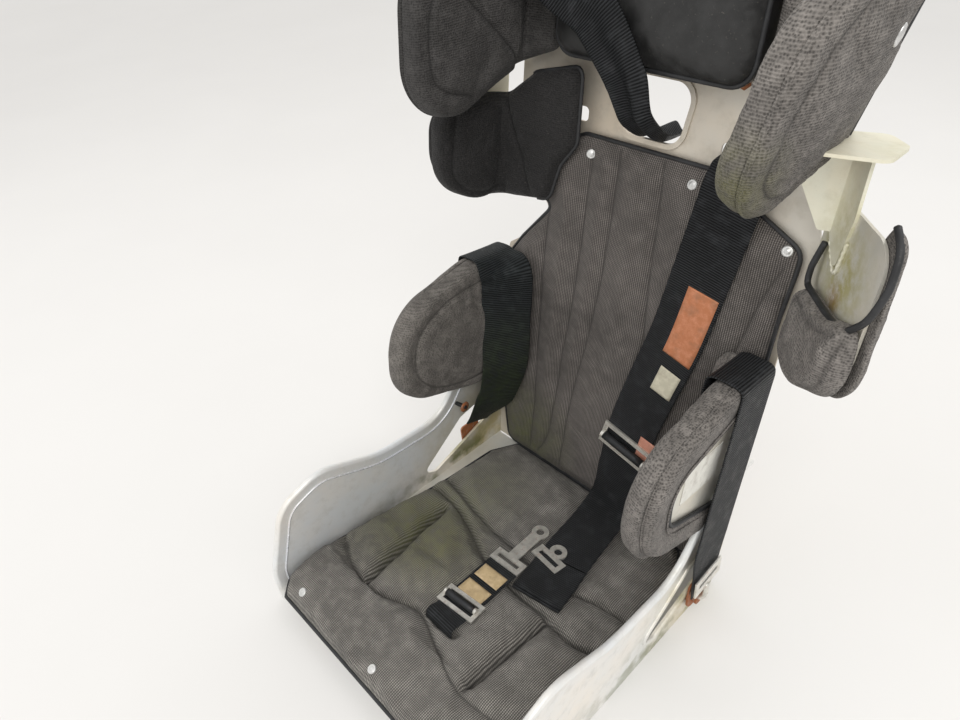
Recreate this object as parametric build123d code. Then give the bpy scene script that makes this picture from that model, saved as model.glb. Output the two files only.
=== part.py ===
from build123d import *
import os
from math import cos, radians, sin, tan

os.makedirs("parts", exist_ok=True)

# Aluminium full containment racing seat with padded covers and a five-point harness.
# Millimetres. +Z is up, the seat faces -Y and +X is the occupant's left.
# The shapes are drawn from floor level under the line where the back meets the bottom, and are
# saved with the centre of the bolt pattern, on the underside of the bottom, as their origin.
# The back has a frame of its own: x across, s up the back, off forward from its front face.

# Shell
sheet = 3.2                # thickness of the aluminium
layback = 6.5              # degrees that the back leans from vertical
hip_half = 215.0           # half of the width between the hip panels
seat_depth = 452.0         # from the back to the front edge of the bottom
pan_height = 18.0          # underside of the bottom above the floor
lip_radius = 12.0
panel_top = 158.0          # top edge of a hip panel
panel_rear_top = 235.0     # top edge of a hip panel where it meets the back
rolled_edge = 5.0          # radius of a rolled edge
rolled_lip = 3.0           # radius of the rolled lip around an opening

# Bolt holes in the bottom
bolt_x = 140.0
bolt_front = -370.0
bolt_rear = -90.0
bolt_hole = 4.25           # radius
crotch_slot_x = 12.0
crotch_slot_y = -338.0
crotch_slot_wide = 64.0
crotch_slot_long = 14.0

# Back and head surround, measured up the back
shoulder_low = 430.0
shoulder_high = 540.0
head_half = 205.0
shoulder_step = 17.0       # how much further out the shoulders reach than the head surround
shoulder_half = head_half + shoulder_step
notch_half = 132.0         # half width left by the notch below the right shoulder wing
neck_corner = 590.0
head_top = 872.0
hole_half = 50.0
hole_low = 594.0
hole_high = 664.0
belt_slot_low = 594.0
belt_slot_high = 612.0
belt_slot_inner = 92.0
belt_slot_outer = 172.0

# Wings
rib_low = 205.0
rib_high = 378.0
rib_reach = 228.0
left_wing_low = 424.0      # lower edge of the left shoulder wing
right_wing_low = 486.0
shoulder_wing_high = 596.0
left_wing_reach = 146.0    # how far the left shoulder wing runs along its face
right_wing_reach = 112.0
left_flare = 40.0          # degrees that the left shoulder wing opens outward
right_flare = 14.0
left_lean = 12.0           # degrees that the left head wing leans outward from the neck up
head_wing_low = 614.0
head_wing_high = 850.0
head_reach = 190.0

# Covers
clear = 0.3                # clearance between soft and hard pieces
back_cover_thick = 18.0
cushion_rear = 34.0        # top of the cushion above the floor, at the back
cushion_front = 64.0       # top of the cushion above the floor, at the front
pad_inner = 30.0           # thickness of a wing's pad on the occupant's side
pad_outer = 8.0            # thickness of its sleeve on the outside
pad_rim = 14.0             # how far a pad stands past the edge of its wing
headrest_thick = 46.0
mouth_low = 496.0          # lower edge of the bare part of the left shoulder wing
mouth_reach = left_wing_reach - 20

# Harness
belt = 75.0                # width of the webbing
webbing = 2.4              # thickness of the webbing
crotch_wide = 50.0         # width of the crotch belt

lean = radians(layback)
pan_top = pan_height + sheet
forward = Vector(0, -cos(lean), sin(lean))
upward = Vector(0, sin(lean), cos(lean))
back_plane = Plane(origin=(0, 0, 0), x_dir=(1, 0, 0), z_dir=(0, -cos(lean), sin(lean)))
sides = ((1, "left"), (-1, "right"))
to_origin = Pos(0, -(bolt_front + bolt_rear) / 2, -pan_height)


def on_back(x, s, off):
    """A point given in the frame of the back."""
    return Vector(x, 0, 0) + upward * s + forward * off


def corner(before, here, after):
    """Start, middle and end of the arc that rounds one corner, rows being (u, v, radius)."""
    point = Vector(here[0], here[1])
    radius = here[2]
    if radius == 0:
        return point, point, point
    a = (Vector(before[0], before[1]) - point).normalized()
    b = (Vector(after[0], after[1]) - point).normalized()
    half = radians(a.get_angle(b)) / 2
    reach = radius / tan(half)
    middle = point + (a + b).normalized() * (radius / sin(half) - radius)
    return point + a * reach, middle, point + b * reach


def rounded_edges(rows, closed=True):
    """Lines and arcs through rows of (u, v, corner radius)."""
    count = len(rows)
    bends = [corner(rows[i - 1], rows[i], rows[(i + 1) % count]) for i in range(count)]
    edges = []
    for i in range(count):
        start, middle, end = bends[i]
        if rows[i][2] > 0:
            edges.append(Edge.make_three_point_arc(start, middle, end))
        if closed or i + 1 < count:
            edges.append(Edge.make_line(end, bends[(i + 1) % count][0]))
    return edges


def rounded_face(rows):
    return Face(Wire(rounded_edges(rows)))


def grown(rows, amount):
    """A closed outline of rows with its straight sides moved outward by an amount."""
    area = sum(rows[i - 1][0] * rows[i][1] - rows[i][0] * rows[i - 1][1] for i in range(len(rows)))
    sign = 1 if area > 0 else -1
    moved = []
    for i in range(len(rows)):
        here = Vector(rows[i][0], rows[i][1])
        a = (here - Vector(rows[i - 1][0], rows[i - 1][1])).normalized()
        after = rows[(i + 1) % len(rows)]
        b = (Vector(after[0], after[1]) - here).normalized()
        normal_a = Vector(a.Y, -a.X) * sign
        normal_b = Vector(b.Y, -b.X) * sign
        shift = (normal_a + normal_b) * (amount / (1 + normal_a.dot(normal_b)))
        bends_out = (a.X * b.Y - a.Y * b.X) * sign > 0
        radius = max(rows[i][2] + (amount if bends_out else -amount), 0)
        moved.append((here.X + shift.X, here.Y + shift.Y, radius))
    return moved


def both_halves(rows):
    """The rows and their mirror image about u = 0, as one closed outline."""
    return rows + [(-u, v, r) for u, v, r in reversed(rows)]


def back_slab(rows, low, high):
    """An outline of (x, s, radius) rows, solid from off = low to off = high."""
    return extrude(back_plane.offset(low) * rounded_face(rows), high - low, dir=forward)


def side_slab(rows, low, high):
    """An outline of (y, z, radius) rows, solid from x = low to x = high."""
    plane = Plane(origin=(low, 0, 0), x_dir=(0, 1, 0), z_dir=(1, 0, 0))
    return extrude(plane * rounded_face(rows), high - low, dir=(1, 0, 0))


def side_tube(rows, x, radius, closed):
    """A round bar of a radius along (y, z, corner radius) rows in the plane at x."""
    plane = Plane(origin=(x, 0, 0), x_dir=(0, 1, 0), z_dir=(1, 0, 0))
    path = Wire([plane * edge for edge in rounded_edges(rows, closed)])
    section = Plane(origin=path @ 0, z_dir=path % 0) * Circle(radius)
    return sweep(section, path)


def wing_frame(side, root, flare, tilt, out):
    """The plane of a wing whose inner face starts at the root and turns outward by the flare.
    It also leans outward by the tilt, from the neck's corner up."""
    across = Vector(side, 0, 0)
    turn = radians(flare)
    along = forward * cos(turn) + across * sin(turn)
    upright = across * cos(turn) - forward * sin(turn)
    rise = upward * cos(radians(tilt)) + upright * sin(radians(tilt))
    outward = upright * cos(radians(tilt)) - upward * sin(radians(tilt))
    origin = across * root + (upward - rise) * neck_corner + outward * out
    return Plane(origin=origin, x_dir=along, z_dir=along.cross(rise)), outward


def wing_slab(rows, low, high, side, root, flare, tilt=0.0):
    """An outline of (off, s, radius) rows, solid between two distances outward from a wing's face."""
    plane, outward = wing_frame(side, root, flare, tilt, low)
    return extrude(plane * rounded_face(rows), high - low, dir=outward)


def save(name, shape):
    export_step(to_origin * shape, f"parts/{name}.step")


# Bottom pan: flat, with a lip rolled down to the floor at the front
pan_rows = [
    (0, pan_height, 0),
    (0, pan_top, 0),
    (-seat_depth, pan_top, lip_radius),
    (-seat_depth, 0, 0),
    (-seat_depth + sheet, 0, 0),
    (-seat_depth + sheet, pan_height, lip_radius - sheet),
]


def crotch_slot(height):
    """The slot that the crotch belt comes up through."""
    return Pos(crotch_slot_x, crotch_slot_y, height) * Box(crotch_slot_wide, crotch_slot_long, 120)


def bottom_pan():
    pan = side_slab(pan_rows, -hip_half, hip_half)
    for x in (-bolt_x, bolt_x):
        for y in (bolt_front, bolt_rear):
            pan -= Pos(x, y, pan_height) * Cylinder(bolt_hole, 4 * sheet)
    return pan - crotch_slot(pan_height)


# Hip panels: upright sheets with a rolled top edge and a lipped opening for the lap belt
panel_rows = [
    (0, 0, 0),
    (panel_rear_top * tan(lean), panel_rear_top, 0),
    (-50, panel_rear_top, 50),
    (-128, panel_top - 20, 70),
    (-seat_depth + 202, panel_top - 12, 160),
    (-seat_depth + 102, panel_top + 30, 60),
    (-seat_depth + 36, panel_top + 8, 50),
    (-seat_depth, 60, 60),
    (-seat_depth, 0, 0),
]
opening_rows = [
    (-182, 48, 12),
    (-88, 118, 10),
    (-26, 130, 14),
    (-16, 78, 24),
    (-84, 54, 40),
    (-150, 32, 12),
]


def hip_panel(side):
    face = side * hip_half
    outer = side * (hip_half + sheet)
    panel = side_slab(panel_rows, min(face, outer), max(face, outer))
    panel += side_tube(panel_rows[1:], face + side * rolled_edge, rolled_edge, closed=False)
    panel += side_tube(opening_rows, face + side * rolled_lip, rolled_lip, closed=True)
    return panel - side_slab(grown(opening_rows, -rolled_lip), -2 * hip_half, 2 * hip_half)


def leaning_out(s):
    """How far the left side of the head surround has leaned outward at a height up the back."""
    return (s - neck_corner) * tan(radians(left_lean))


# Back shell: one sheet with shoulders, neck and head plate, wider on the left towards its top
back_rows = [
    (hip_half, pan_top, 0),
    (hip_half, shoulder_low, 60),
    (shoulder_half, shoulder_low + 60, 30),
    (shoulder_half, shoulder_high, 20),
    (head_half, neck_corner, 20),
    (head_half + leaning_out(head_top), head_top, 40),
    (-head_half, head_top, 40),
    (-head_half, neck_corner, 20),
    (-shoulder_half, shoulder_high, 20),
    (-shoulder_half, right_wing_low - 4, 6),
    (-notch_half, right_wing_low - 12, 12),
    (-hip_half + 20, rib_high + 26, 30),
    (-hip_half, rib_high + 12, 10),
    (-hip_half, pan_top, 0),
]
hole_rows = both_halves([
    (hole_half * 0.8, hole_low, 20),
    (hole_half, hole_high, 20),
])
belt_slot_rows = [
    (belt_slot_inner, belt_slot_low, 6),
    (belt_slot_outer, belt_slot_low, 6),
    (belt_slot_outer, belt_slot_high, 6),
    (belt_slot_inner, belt_slot_high, 6),
]


def back_shell():
    shell = back_slab(back_rows, -sheet, 0)
    rim = back_slab(grown(hole_rows, 2 * rolled_lip), 0, rolled_lip)
    shell = shell + rim - back_slab(hole_rows, -20, 20)
    for side, _ in sides:
        shell -= back_slab([(side * u, v, r) for u, v, r in belt_slot_rows], -20, 20)
    return shell


# Wings: outlines in (off, s, corner radius), off being forward from the back
rib_rows = [
    (0, rib_low, 0),
    (0, rib_high, 0),
    (96, rib_high, 80),
    (rib_reach, rib_high - 44, 68),
    (rib_reach - 14, rib_low + 22, 58),
    (90, rib_low - 14, 70),
]



def shoulder_rows(low, reach):
    return [
        (0, low, 0),
        (0, shoulder_wing_high, 0),
        (reach, shoulder_wing_high, 30),
        (reach, low + 30, 50),
        (60, low, 40),
    ]


head_rows = [
    (0, head_wing_low + 52, 0),
    (0, head_wing_high, 0),
    (96, head_wing_high, 50),
    (head_reach, head_wing_low + 132, 70),
    (head_reach, head_wing_low + 12, 52),
    (head_reach - 62, head_wing_low, 50),
]

# Wing table: name, distance of the inner face from the centre, and for each side its outline, flare and tilt
rib_root = hip_half - sheet
shoulder_root = shoulder_half
head_root = head_half - sheet
wings = [
    ("rib", rib_root, {1: (rib_rows, 0.0, 0.0), -1: (rib_rows, 0.0, 0.0)}),
    ("shoulder", shoulder_root, {
        1: (shoulder_rows(left_wing_low, left_wing_reach), left_flare, 0.0),
        -1: (shoulder_rows(right_wing_low, right_wing_reach), right_flare, 0.0),
    }),
    ("head", head_root, {1: (head_rows, 0.0, left_lean), -1: (head_rows, 0.0, 0.0)}),
]

# Head braces: a flange on each head wing and a plate from it down to the shoulder wing
brace_top = 650.0
brace_front = 84.0
brace_rear = 6.0
brace_fold = 21.5          # from the wing's root to the fold of the left brace
brace_tip = 532.0
flange_reach = 72.0
flare_of = {1: left_flare, -1: right_flare}


# The right shoulder pad also covers the edge of the back beside the neck
root_flap_rows = [
    (-88, 664, 12),
    (-86, 572, 16),
    (-110, 540, 20),
    (-122, 492, 18),
    (-shoulder_half, 482, 0),
    (-shoulder_half, 600, 0),
    (-168, 636, 10),
]


def head_brace(side):
    """The upright plate, on the bare face of the left wing and on the outside of the right one."""
    turn = radians(flare_of[side])
    if side < 0:
        rows = [
            (brace_rear, brace_top, 0),
            (brace_rear, shoulder_wing_high - 30, 10),
            (44, shoulder_wing_high - 92, 8),
            (brace_front, shoulder_wing_high + 8, 10),
            (brace_front, brace_top, 0),
        ]
        return wing_slab(rows, sheet, 2 * sheet, side, shoulder_root, right_flare)
    rows = [
        (brace_fold, brace_top, 0),
        (brace_fold, brace_tip + 26, 0),
        (brace_fold + 34, brace_tip, 7),
        (brace_fold + 46, shoulder_wing_high - 6, 20),
        (brace_fold + 42, brace_top, 0),
    ]
    plate = wing_slab(rows, -sheet, 0, side, shoulder_root, left_flare)
    fold_x = shoulder_root + brace_fold * sin(turn) - sheet * cos(turn)
    fold_off = brace_fold * cos(turn)
    flap = [
        (fold_x + 1, brace_top, 0),
        (fold_x + 1, brace_tip + 28, 0),
        (fold_x - 12, brace_tip + 26, 4),
        (fold_x - 42, brace_tip + 70, 8),
        (fold_x - 16, brace_top, 0),
    ]
    return plate + back_slab(flap, fold_off, fold_off + sheet)


def head_flange(side, gap=0.0):
    """The flat flange between the head wing and the top of the brace, grown by a gap."""
    edge = head_half + (leaning_out(brace_top + sheet) + clear if side > 0 else 0)
    rows = [
        (edge, brace_rear, 0),
        (head_half + 44, brace_rear - 20, 12),
        (head_half + flange_reach, brace_rear + 8, 16),
        (head_half + flange_reach + 4, brace_front - 14, 16),
        (edge, brace_front + 16, 0),
    ]
    plane = Plane(origin=upward * (brace_top - gap), x_dir=(1, 0, 0), z_dir=-upward)
    flat = rounded_face([(side * u, v, r) for u, v, r in grown(rows, gap)])
    return extrude(plane * flat, sheet + 2 * gap, dir=upward)


def sleeve_pad(wing, rows, side, root, flare, tilt):
    """A padded sleeve over a wing, open along the back and, but for the head, on its outside."""
    body = wing_slab(grown(rows, pad_rim), -pad_inner, sheet + pad_outer, side, root, flare, tilt)
    if wing == "shoulder" and side < 0:
        body += back_slab(root_flap_rows, back_cover_thick + 2, pad_inner + 8)
    pocket = wing_slab(grown(rows, clear), -clear, sheet + clear, side, root, flare, tilt)
    behind = back_slab(both_halves([(600, -200, 0), (600, 1200, 0)]), -300, back_cover_thick + 2)
    pad = body - pocket - behind
    if wing != "head":
        pad -= wing_slab(grown(rows, -26), 0, sheet + 4 * pad_outer, side, root, flare)
    if wing == "shoulder" and side < 0:
        mouth = [(-40, 480, 0), (-40, 700, 0), (brace_front + 14, 700, 0), (brace_front + 14, 490, 20)]
        pad -= wing_slab(mouth, 0, 4 * pad_outer, side, root, flare)
    if wing == "shoulder" and side > 0:
        mouth = [(-90, mouth_low, 0), (-90, 700, 0), (mouth_reach, 700, 0), (mouth_reach + 8, mouth_low, 24)]
        pad -= wing_slab(mouth, -2 * pad_inner, 4 * pad_outer, side, root, flare)
    if wing == "head":
        pad -= head_flange(side, 1.0)
    if wing == "rib":
        pad -= side_slab(grown(panel_rows, 2 * rolled_edge), *outside(side, hip_half - clear, 60))
    return pad


def outside(side, start, depth):
    """The x range that starts at a distance from the centre and goes outward."""
    return sorted((side * start, side * (start + depth)))


# Covers
cushion_run = seat_depth - 76
cushion_rise = (cushion_front - cushion_rear) / (cushion_run - 6)


def cushion():
    """The bottom cover, thicker under the thighs."""
    rows = [
        (-clear - 6, pan_top + clear, 4),
        (-clear - 6, cushion_rear, 4),
        (-cushion_run, cushion_front, 60),
        (-seat_depth - 6, cushion_front - 6, 22),
        (-seat_depth - 6, pan_top + clear, 6),
    ]
    half = hip_half - clear
    return side_slab(rows, -half, half) - crotch_slot(pan_height)


back_cover_half = rib_root - pad_inner - 3
back_cover_rows = [
    (148, cushion_rear + 10, 20),
    (back_cover_half, rib_low, 60),
    (back_cover_half, shoulder_low, 60),
    (shoulder_half - 12, shoulder_low + 70, 30),
    (shoulder_half - 12, shoulder_high - 16, 18),
    (88, 582, 14),
    (-88, 582, 14),
    (-shoulder_half + 12, shoulder_high - 16, 18),
    (-shoulder_half + 12, right_wing_low + 4, 8),
    (-notch_half + 4, right_wing_low - 8, 10),
    (-back_cover_half, rib_high + 32, 16),
    (-back_cover_half, rib_low, 60),
    (-148, cushion_rear + 10, 20),
]


def back_cover():
    return back_slab(back_cover_rows, clear, back_cover_thick)


def headrest():
    rows = both_halves([(head_half - 80, 676, 24), (head_half - 80, head_top - 30, 30)])
    return back_slab(rows, clear, headrest_thick)


# Harness webbing: rows of (point, direction out of the face it lies on, width)
face_off = back_cover_thick + 3 * clear


def on_cushion(x, y, lift=clear):
    """A point just above the cushion's top, which rises to the front."""
    return Vector(x, y, cushion_rear - cushion_rise * (y + 6) + lift)


def webbing_through(rows):
    """Flat webbing along rows, its breadth square to the path and to the outward direction."""
    stations = []
    for i, (point, out, width) in enumerate(rows):
        ahead = rows[min(i + 1, len(rows) - 1)][0] - rows[max(i - 1, 0)][0]
        across = ahead.cross(out)
        stations.append((point, across, across.cross(ahead), width))
    faces = []
    for middle, across, out, width in stations:
        a = across.normalized() * (width / 2)
        b = out.normalized() * webbing
        corners = [middle - a, middle + a, middle + a + b, middle - a + b]
        faces.append(Face(Wire.make_polygon(corners, close=True)))
    pieces = [loft([faces[i], faces[i + 1]], ruled=True) for i in range(len(faces) - 1)]
    return pieces[0].fuse(*pieces[1:])


slot_x = (belt_slot_inner + belt_slot_outer) / 2
slot_s = belt_slot_low + 4
up = Vector(0, 0, 1)
left = Vector(1, 0, 0)


def left_shoulder_belt():
    """From the slot behind the head wing, down over the back to a folded end on the cushion."""
    return webbing_through([
        (on_back(slot_x, slot_s, -44), upward, belt),
        (on_back(slot_x, slot_s, 10), upward, belt),
        (on_back(slot_x - 2, slot_s - 10, face_off + 2), upward + forward, belt),
        (on_back(slot_x - 6, slot_s - 34, face_off + 1), forward, belt),
        (on_back(96, 370, face_off), forward, belt),
        (on_back(58, 200, face_off), forward, belt),
        (on_back(50, 100, face_off), forward, belt),
        (on_back(50, 62, face_off + 6), forward * 2 + up, belt),
        (on_cushion(52, -58, 9), up + forward, belt),
        (on_cushion(60, -130, 1), up, belt),
        (on_cushion(78, -226, 1), up, belt),
    ])


def right_shoulder_belt():
    """From the hole in the neck, gathered, then thrown up over the right head wing."""
    inner = -(head_root - pad_inner) + clear
    outer = -(head_half + pad_outer) - clear
    top = head_wing_high + pad_rim + clear
    over = headrest_thick + 8
    return webbing_through([
        (on_back(12, hole_low + 10, -44), -upward, 40),
        (on_back(12, hole_low + 10, 8), -upward, 40),
        (on_back(8, hole_low + 34, over - 8), forward - upward, 42),
        (on_back(-6, hole_low + 74, over + 1), forward, 48),
        (on_back(-50, hole_low + 132, over + 8), forward - left * 0.2, 66),
        (on_back(-94, hole_low + 168, over + 14), forward + left * 0.3, belt),
        (on_back(-132, hole_low + 196, over + 19), forward * 0.8 + left * 0.6, belt),
        (on_back(inner + 8, hole_low + 224, over + 12), forward * 0.2 + left, belt),
        (on_back(inner, top - 16, over + 8), left, belt),
        (on_back(inner, top, over + 8), left + upward, belt),
        (on_back(outer, top, over + 8), upward - left, belt),
        (on_back(outer, top - 150, over + 8), -left, belt),
    ])


lap_off = back_cover_thick + belt / 2 + 4
rib_in = rib_root - pad_inner - 2 * clear
rib_out = hip_half + pad_outer + 2 * clear
rib_top = rib_high + pad_rim + 2 * clear


def lap_belt(side):
    """Over the top of the rib wing: the right one comes up inside it, the left one outside."""
    inward = left * -side
    inner = (on_back(side * rib_in, rib_top - 14, lap_off), inward, belt)
    over = [
        (on_back(side * rib_in, rib_top, lap_off), inward + upward, belt),
        (on_back(side * rib_out, rib_top, lap_off), upward - inward, belt),
    ]
    outer = (on_back(side * rib_out, rib_top - 14, lap_off), -inward, belt)
    if side > 0:
        return webbing_through([
            (Vector(hip_half + 14, anchor_y, anchor_z + 22), left, 46),
            (Vector(hip_half + 16, anchor_y - 2, 170), left, belt),
            outer, *reversed(over), inner,
            (on_back(rib_in, rib_low - 15, lap_off), inward, belt),
        ])
    return webbing_through([
        (Vector(-hip_half + 3, anchor_y + 2, 96), left, 46),
        (on_back(-rib_in + 2, rib_low - 32, lap_off), inward, belt),
        inner, *over, outer,
        (on_back(-rib_out, 250, lap_off), -inward, belt),
    ])


def crotch_belt():
    """Up through the slot in the bottom and laid back on the cushion."""
    x = crotch_slot_x
    y = crotch_slot_y - crotch_slot_long / 2 + webbing + clear
    ahead = Vector(0, 1, 0)
    return webbing_through([
        (Vector(x, y, 4), -ahead, crotch_wide),
        (Vector(x, y, on_cushion(x, y).Z - 2), -ahead, crotch_wide),
        (on_cushion(x, y + 4, 4), up - ahead, crotch_wide),
        (on_cushion(x, y + 20), up, crotch_wide),
        (on_cushion(x - 4, y + 130), up, crotch_wide),
    ])


# Harness hardware
anchor_y = -62.0
anchor_z = 40.0
plate = 3.0                # thickness of the steel fittings


def anchor_bracket(side):
    """A forked steel plate bolted to the hip panel below the lap belt opening."""
    face = hip_half + sheet
    rows = [
        (anchor_y - 17, anchor_z - 17, 16),
        (anchor_y - 20, anchor_z + 40, 6),
        (anchor_y + 20, anchor_z + 40, 6),
        (anchor_y + 17, anchor_z - 17, 16),
    ]
    bracket = side_slab(rows, *outside(side, face + 4, plate))
    spacer = Pos(side * (face + 2), anchor_y, anchor_z) * Rot(0, 90, 0) * Cylinder(12, 4)
    head = Pos(side * (face + 4 + plate + 3.5), anchor_y, anchor_z) * Rot(0, 90, 0) * Cylinder(9, 7)
    return bracket + spacer + head


def frame_link(wide, tall, bar, rim):
    """A flat steel frame with a round bar across its middle, lying in the XY plane."""
    ring = Box(wide, tall, plate) - Box(wide - 2 * rim, tall - 2 * rim, 2 * plate)
    roller = Pos(0, 0, bar / 2) * Rot(0, 90, 0) * Cylinder(bar / 2, wide - rim)
    return Pos(0, 0, plate / 2) * ring + Pos(0, 0, plate / 2) * roller


def placed(shape, point, x_dir, out):
    """A shape drawn in the XY plane, laid with its z along the outward direction."""
    return Plane(origin=point, x_dir=x_dir, z_dir=out) * shape


def tongue(wide, long):
    """A flat steel tongue with a slot for the webbing and an eye at its tip."""
    head = Box(wide, 22, plate) - Box(wide - 14, 7, 2 * plate)
    stem = Pos(0, 11 + long / 2, 0) * Box(18, long, plate)
    eye = Pos(0, 11 + long, 0) * (Cylinder(13, plate) - Cylinder(6, 2 * plate))
    hole = Pos(0, 11 + long, 0) * Cylinder(6, 2 * plate)
    return Pos(0, 0, plate / 2) * (head + stem - hole + eye)


save("bottom_pan", bottom_pan())
save("back_shell", back_shell())
for side, name in sides:
    save(f"hip_panel_{name}", hip_panel(side))
    for wing, root, shapes in wings:
        rows, flare, tilt = shapes[side]
        save(f"{wing}_wing_{name}", wing_slab(rows, 0, sheet, side, root, flare, tilt))
        save(f"{wing}_pad_{name}", sleeve_pad(wing, rows, side, root, flare, tilt))
    save(f"head_brace_{name}", head_brace(side))
    save(f"head_flange_{name}", head_flange(side))
save("cushion", cushion())
save("back_cover", back_cover())
save("headrest_pad", headrest())
save("shoulder_belt_left", left_shoulder_belt())
save("shoulder_belt_right", right_shoulder_belt())
for side, name in sides:
    save(f"lap_belt_{name}", lap_belt(side))
    save(f"anchor_bracket_{name}", anchor_bracket(side))
save("crotch_belt", crotch_belt())
lie = webbing + 2 * clear
slide = placed(frame_link(86, 40, 12, 7), on_back(54, 166, face_off + lie), (0.97, -0.02, -0.2), forward)
save("shoulder_adjuster", slide)
cushion_slope = on_cushion(0, -100) - on_cushion(0, 0)
cushion_up = cushion_slope.cross(Vector(1, 0, 0))
save("crotch_adjuster", placed(frame_link(62, 30, 9, 6), on_cushion(12, -302, lie), (1, 0.1, 0), cushion_up))
save("crotch_tongue", placed(tongue(52, 62), on_cushion(8, -206, lie), (1, 0.05, 0), cushion_up))
save("belt_end_tab", placed(tongue(50, 8), on_cushion(46, -162, lie + 1), (0.9, -0.1, 0), cushion_up))
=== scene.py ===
import math
import bmesh
import bpy
import numpy as np
from mathutils import Matrix, Vector, noise
from mathutils.bvhtree import BVHTree
from mathutils.geometry import delaunay_2d_cdt


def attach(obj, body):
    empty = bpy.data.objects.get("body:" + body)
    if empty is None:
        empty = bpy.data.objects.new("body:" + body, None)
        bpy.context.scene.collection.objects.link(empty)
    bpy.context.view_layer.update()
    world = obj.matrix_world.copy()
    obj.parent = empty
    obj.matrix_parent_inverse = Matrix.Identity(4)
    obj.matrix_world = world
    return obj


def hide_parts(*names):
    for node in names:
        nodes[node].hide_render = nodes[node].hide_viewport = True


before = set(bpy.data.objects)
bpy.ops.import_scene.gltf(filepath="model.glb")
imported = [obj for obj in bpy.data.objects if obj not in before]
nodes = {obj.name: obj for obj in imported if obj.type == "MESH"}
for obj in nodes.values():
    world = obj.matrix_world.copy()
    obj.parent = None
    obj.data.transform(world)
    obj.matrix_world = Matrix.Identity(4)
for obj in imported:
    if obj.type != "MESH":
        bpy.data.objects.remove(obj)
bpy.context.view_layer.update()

# Sizes of the seat in millimetres, as the CAD has them. The drawing frame has its origin at floor
# level under the line where the back meets the bottom, and the row's frame is moved by SHIFT.
SHIFT = (0.0, 230.0, -18.0)
SHEET = 3.2
LEAN = math.radians(6.5)
HIP_HALF = 215.0
SEAT_DEPTH = 452.0
HEAD_HALF = 205.0
SHOULDER_HALF = 222.0
RIB_LOW, RIB_HIGH, RIB_REACH = 205.0, 378.0, 228.0
SHOULDER_HIGH = 596.0
LEFT_LOW, LEFT_REACH = 424.0, 146.0
RIGHT_LOW, RIGHT_REACH = 486.0, 112.0
HEAD_LOW, HEAD_HIGH, HEAD_REACH = 614.0, 850.0, 190.0
NECK_CORNER, LEFT_LEAN = 590.0, 12.0
LEFT_FLARE, RIGHT_FLARE = 40.0, 14.0
COVER_THICK = 18.0
CUSHION_REAR, CUSHION_FRONT, FRONT_APRON = 34.0, 64.0, 76.0
CUSHION_SLOPE = (CUSHION_FRONT - CUSHION_REAR) / (SEAT_DEPTH - FRONT_APRON - 6.0)
PAD_INNER, PAD_OUTER, PAD_RIM = 30.0, 8.0, 14.0
BELT, CROTCH_BELT, WEBBING = 75.0, 50.0, 2.4
CLEAR = 0.3

# The cloth that covers the pads: how high its rolled borders and welts are
OUT_TOP = SHEET + PAD_OUTER
PIPING, THIN_PIPING, WELT, THIN_WELT = 0.0028, 0.0026, 0.0027, 0.0015

FORWARD = np.array([0.0, -math.cos(LEAN), math.sin(LEAN)])
UPWARD = np.array([0.0, math.sin(LEAN), math.cos(LEAN)])
ACROSS = np.array([1.0, 0.0, 0.0])
UP = np.array([0.0, 0.0, 1.0])


def to_row(points):
    """Drawing frame in millimetres to the row's frame in metres."""
    return (np.asarray(points, float) + np.array(SHIFT)) / 1000.0


def on_back(x, s, off):
    return ACROSS * x + UPWARD * s + FORWARD * off


def unit(vectors):
    vectors = np.asarray(vectors, float)
    return vectors / np.linalg.norm(vectors, axis=-1, keepdims=True)


def along(line):
    """Lengths from the start of a line to each of its points."""
    return np.concatenate([[0], np.cumsum(np.linalg.norm(np.diff(line, axis=0), axis=1))])


def level(points, height):
    return np.full(len(points), height)


def ease(x):
    x = np.clip(x, 0, 1)
    return x * x * (3 - 2 * x)


def within(distance, reach):
    return np.clip(distance / reach, 0, 1)


def sewn(gap, depth, width):
    """How deep a seam pulls the cloth in, by the distance from it."""
    return depth * np.exp(-(gap / width) ** 2)


def quarter(share):
    """A quarter of a circle: steep at 0 and flat at 1."""
    return np.sqrt(np.clip(1 - (1 - np.clip(share, 0, 1)) ** 2, 0, 1))


def add_to_scene(name, data):
    obj = bpy.data.objects.new(name, data)
    bpy.context.collection.objects.link(obj)
    return obj


# Camera, at the photograph's viewing angle
def add_camera(place, target, roll, lens, sensor=36.0):
    data = bpy.data.cameras.new("camera")
    data.sensor_width = sensor
    data.lens = lens
    camera = add_to_scene("camera", data)
    forward = (target - place).normalized()
    right = forward.cross(Vector((0, 0, 1))).normalized()
    up = right.cross(forward)
    right, up = right * math.cos(roll) + up * math.sin(roll), up * math.cos(roll) - right * math.sin(roll)
    turn = Matrix((right, up, -forward)).transposed()
    camera.matrix_world = Matrix.Translation(place) @ turn.to_4x4()
    bpy.context.scene.camera = camera


add_camera(Vector((0.4589, -0.3978, 0.8961)), Vector((-0.1038, 0.0979, 0.3038)), math.radians(-4.34), 26.52)
bpy.context.scene.view_settings.view_transform = "Standard"

# Materials. A wave texture repeats at this length where its scale is 1, and the weft is a little finer.
WAVE_LENGTH, WEFT_LENGTH = 0.314, 0.34
RIB_PITCH, THREAD_PITCH, LABEL_PITCH = 0.0031, 0.0016, 0.0012
# How dark the holes between the threads are
KNITTED, OPEN_MESH, WOVEN = 0.68, 0.78, 0.86


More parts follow.
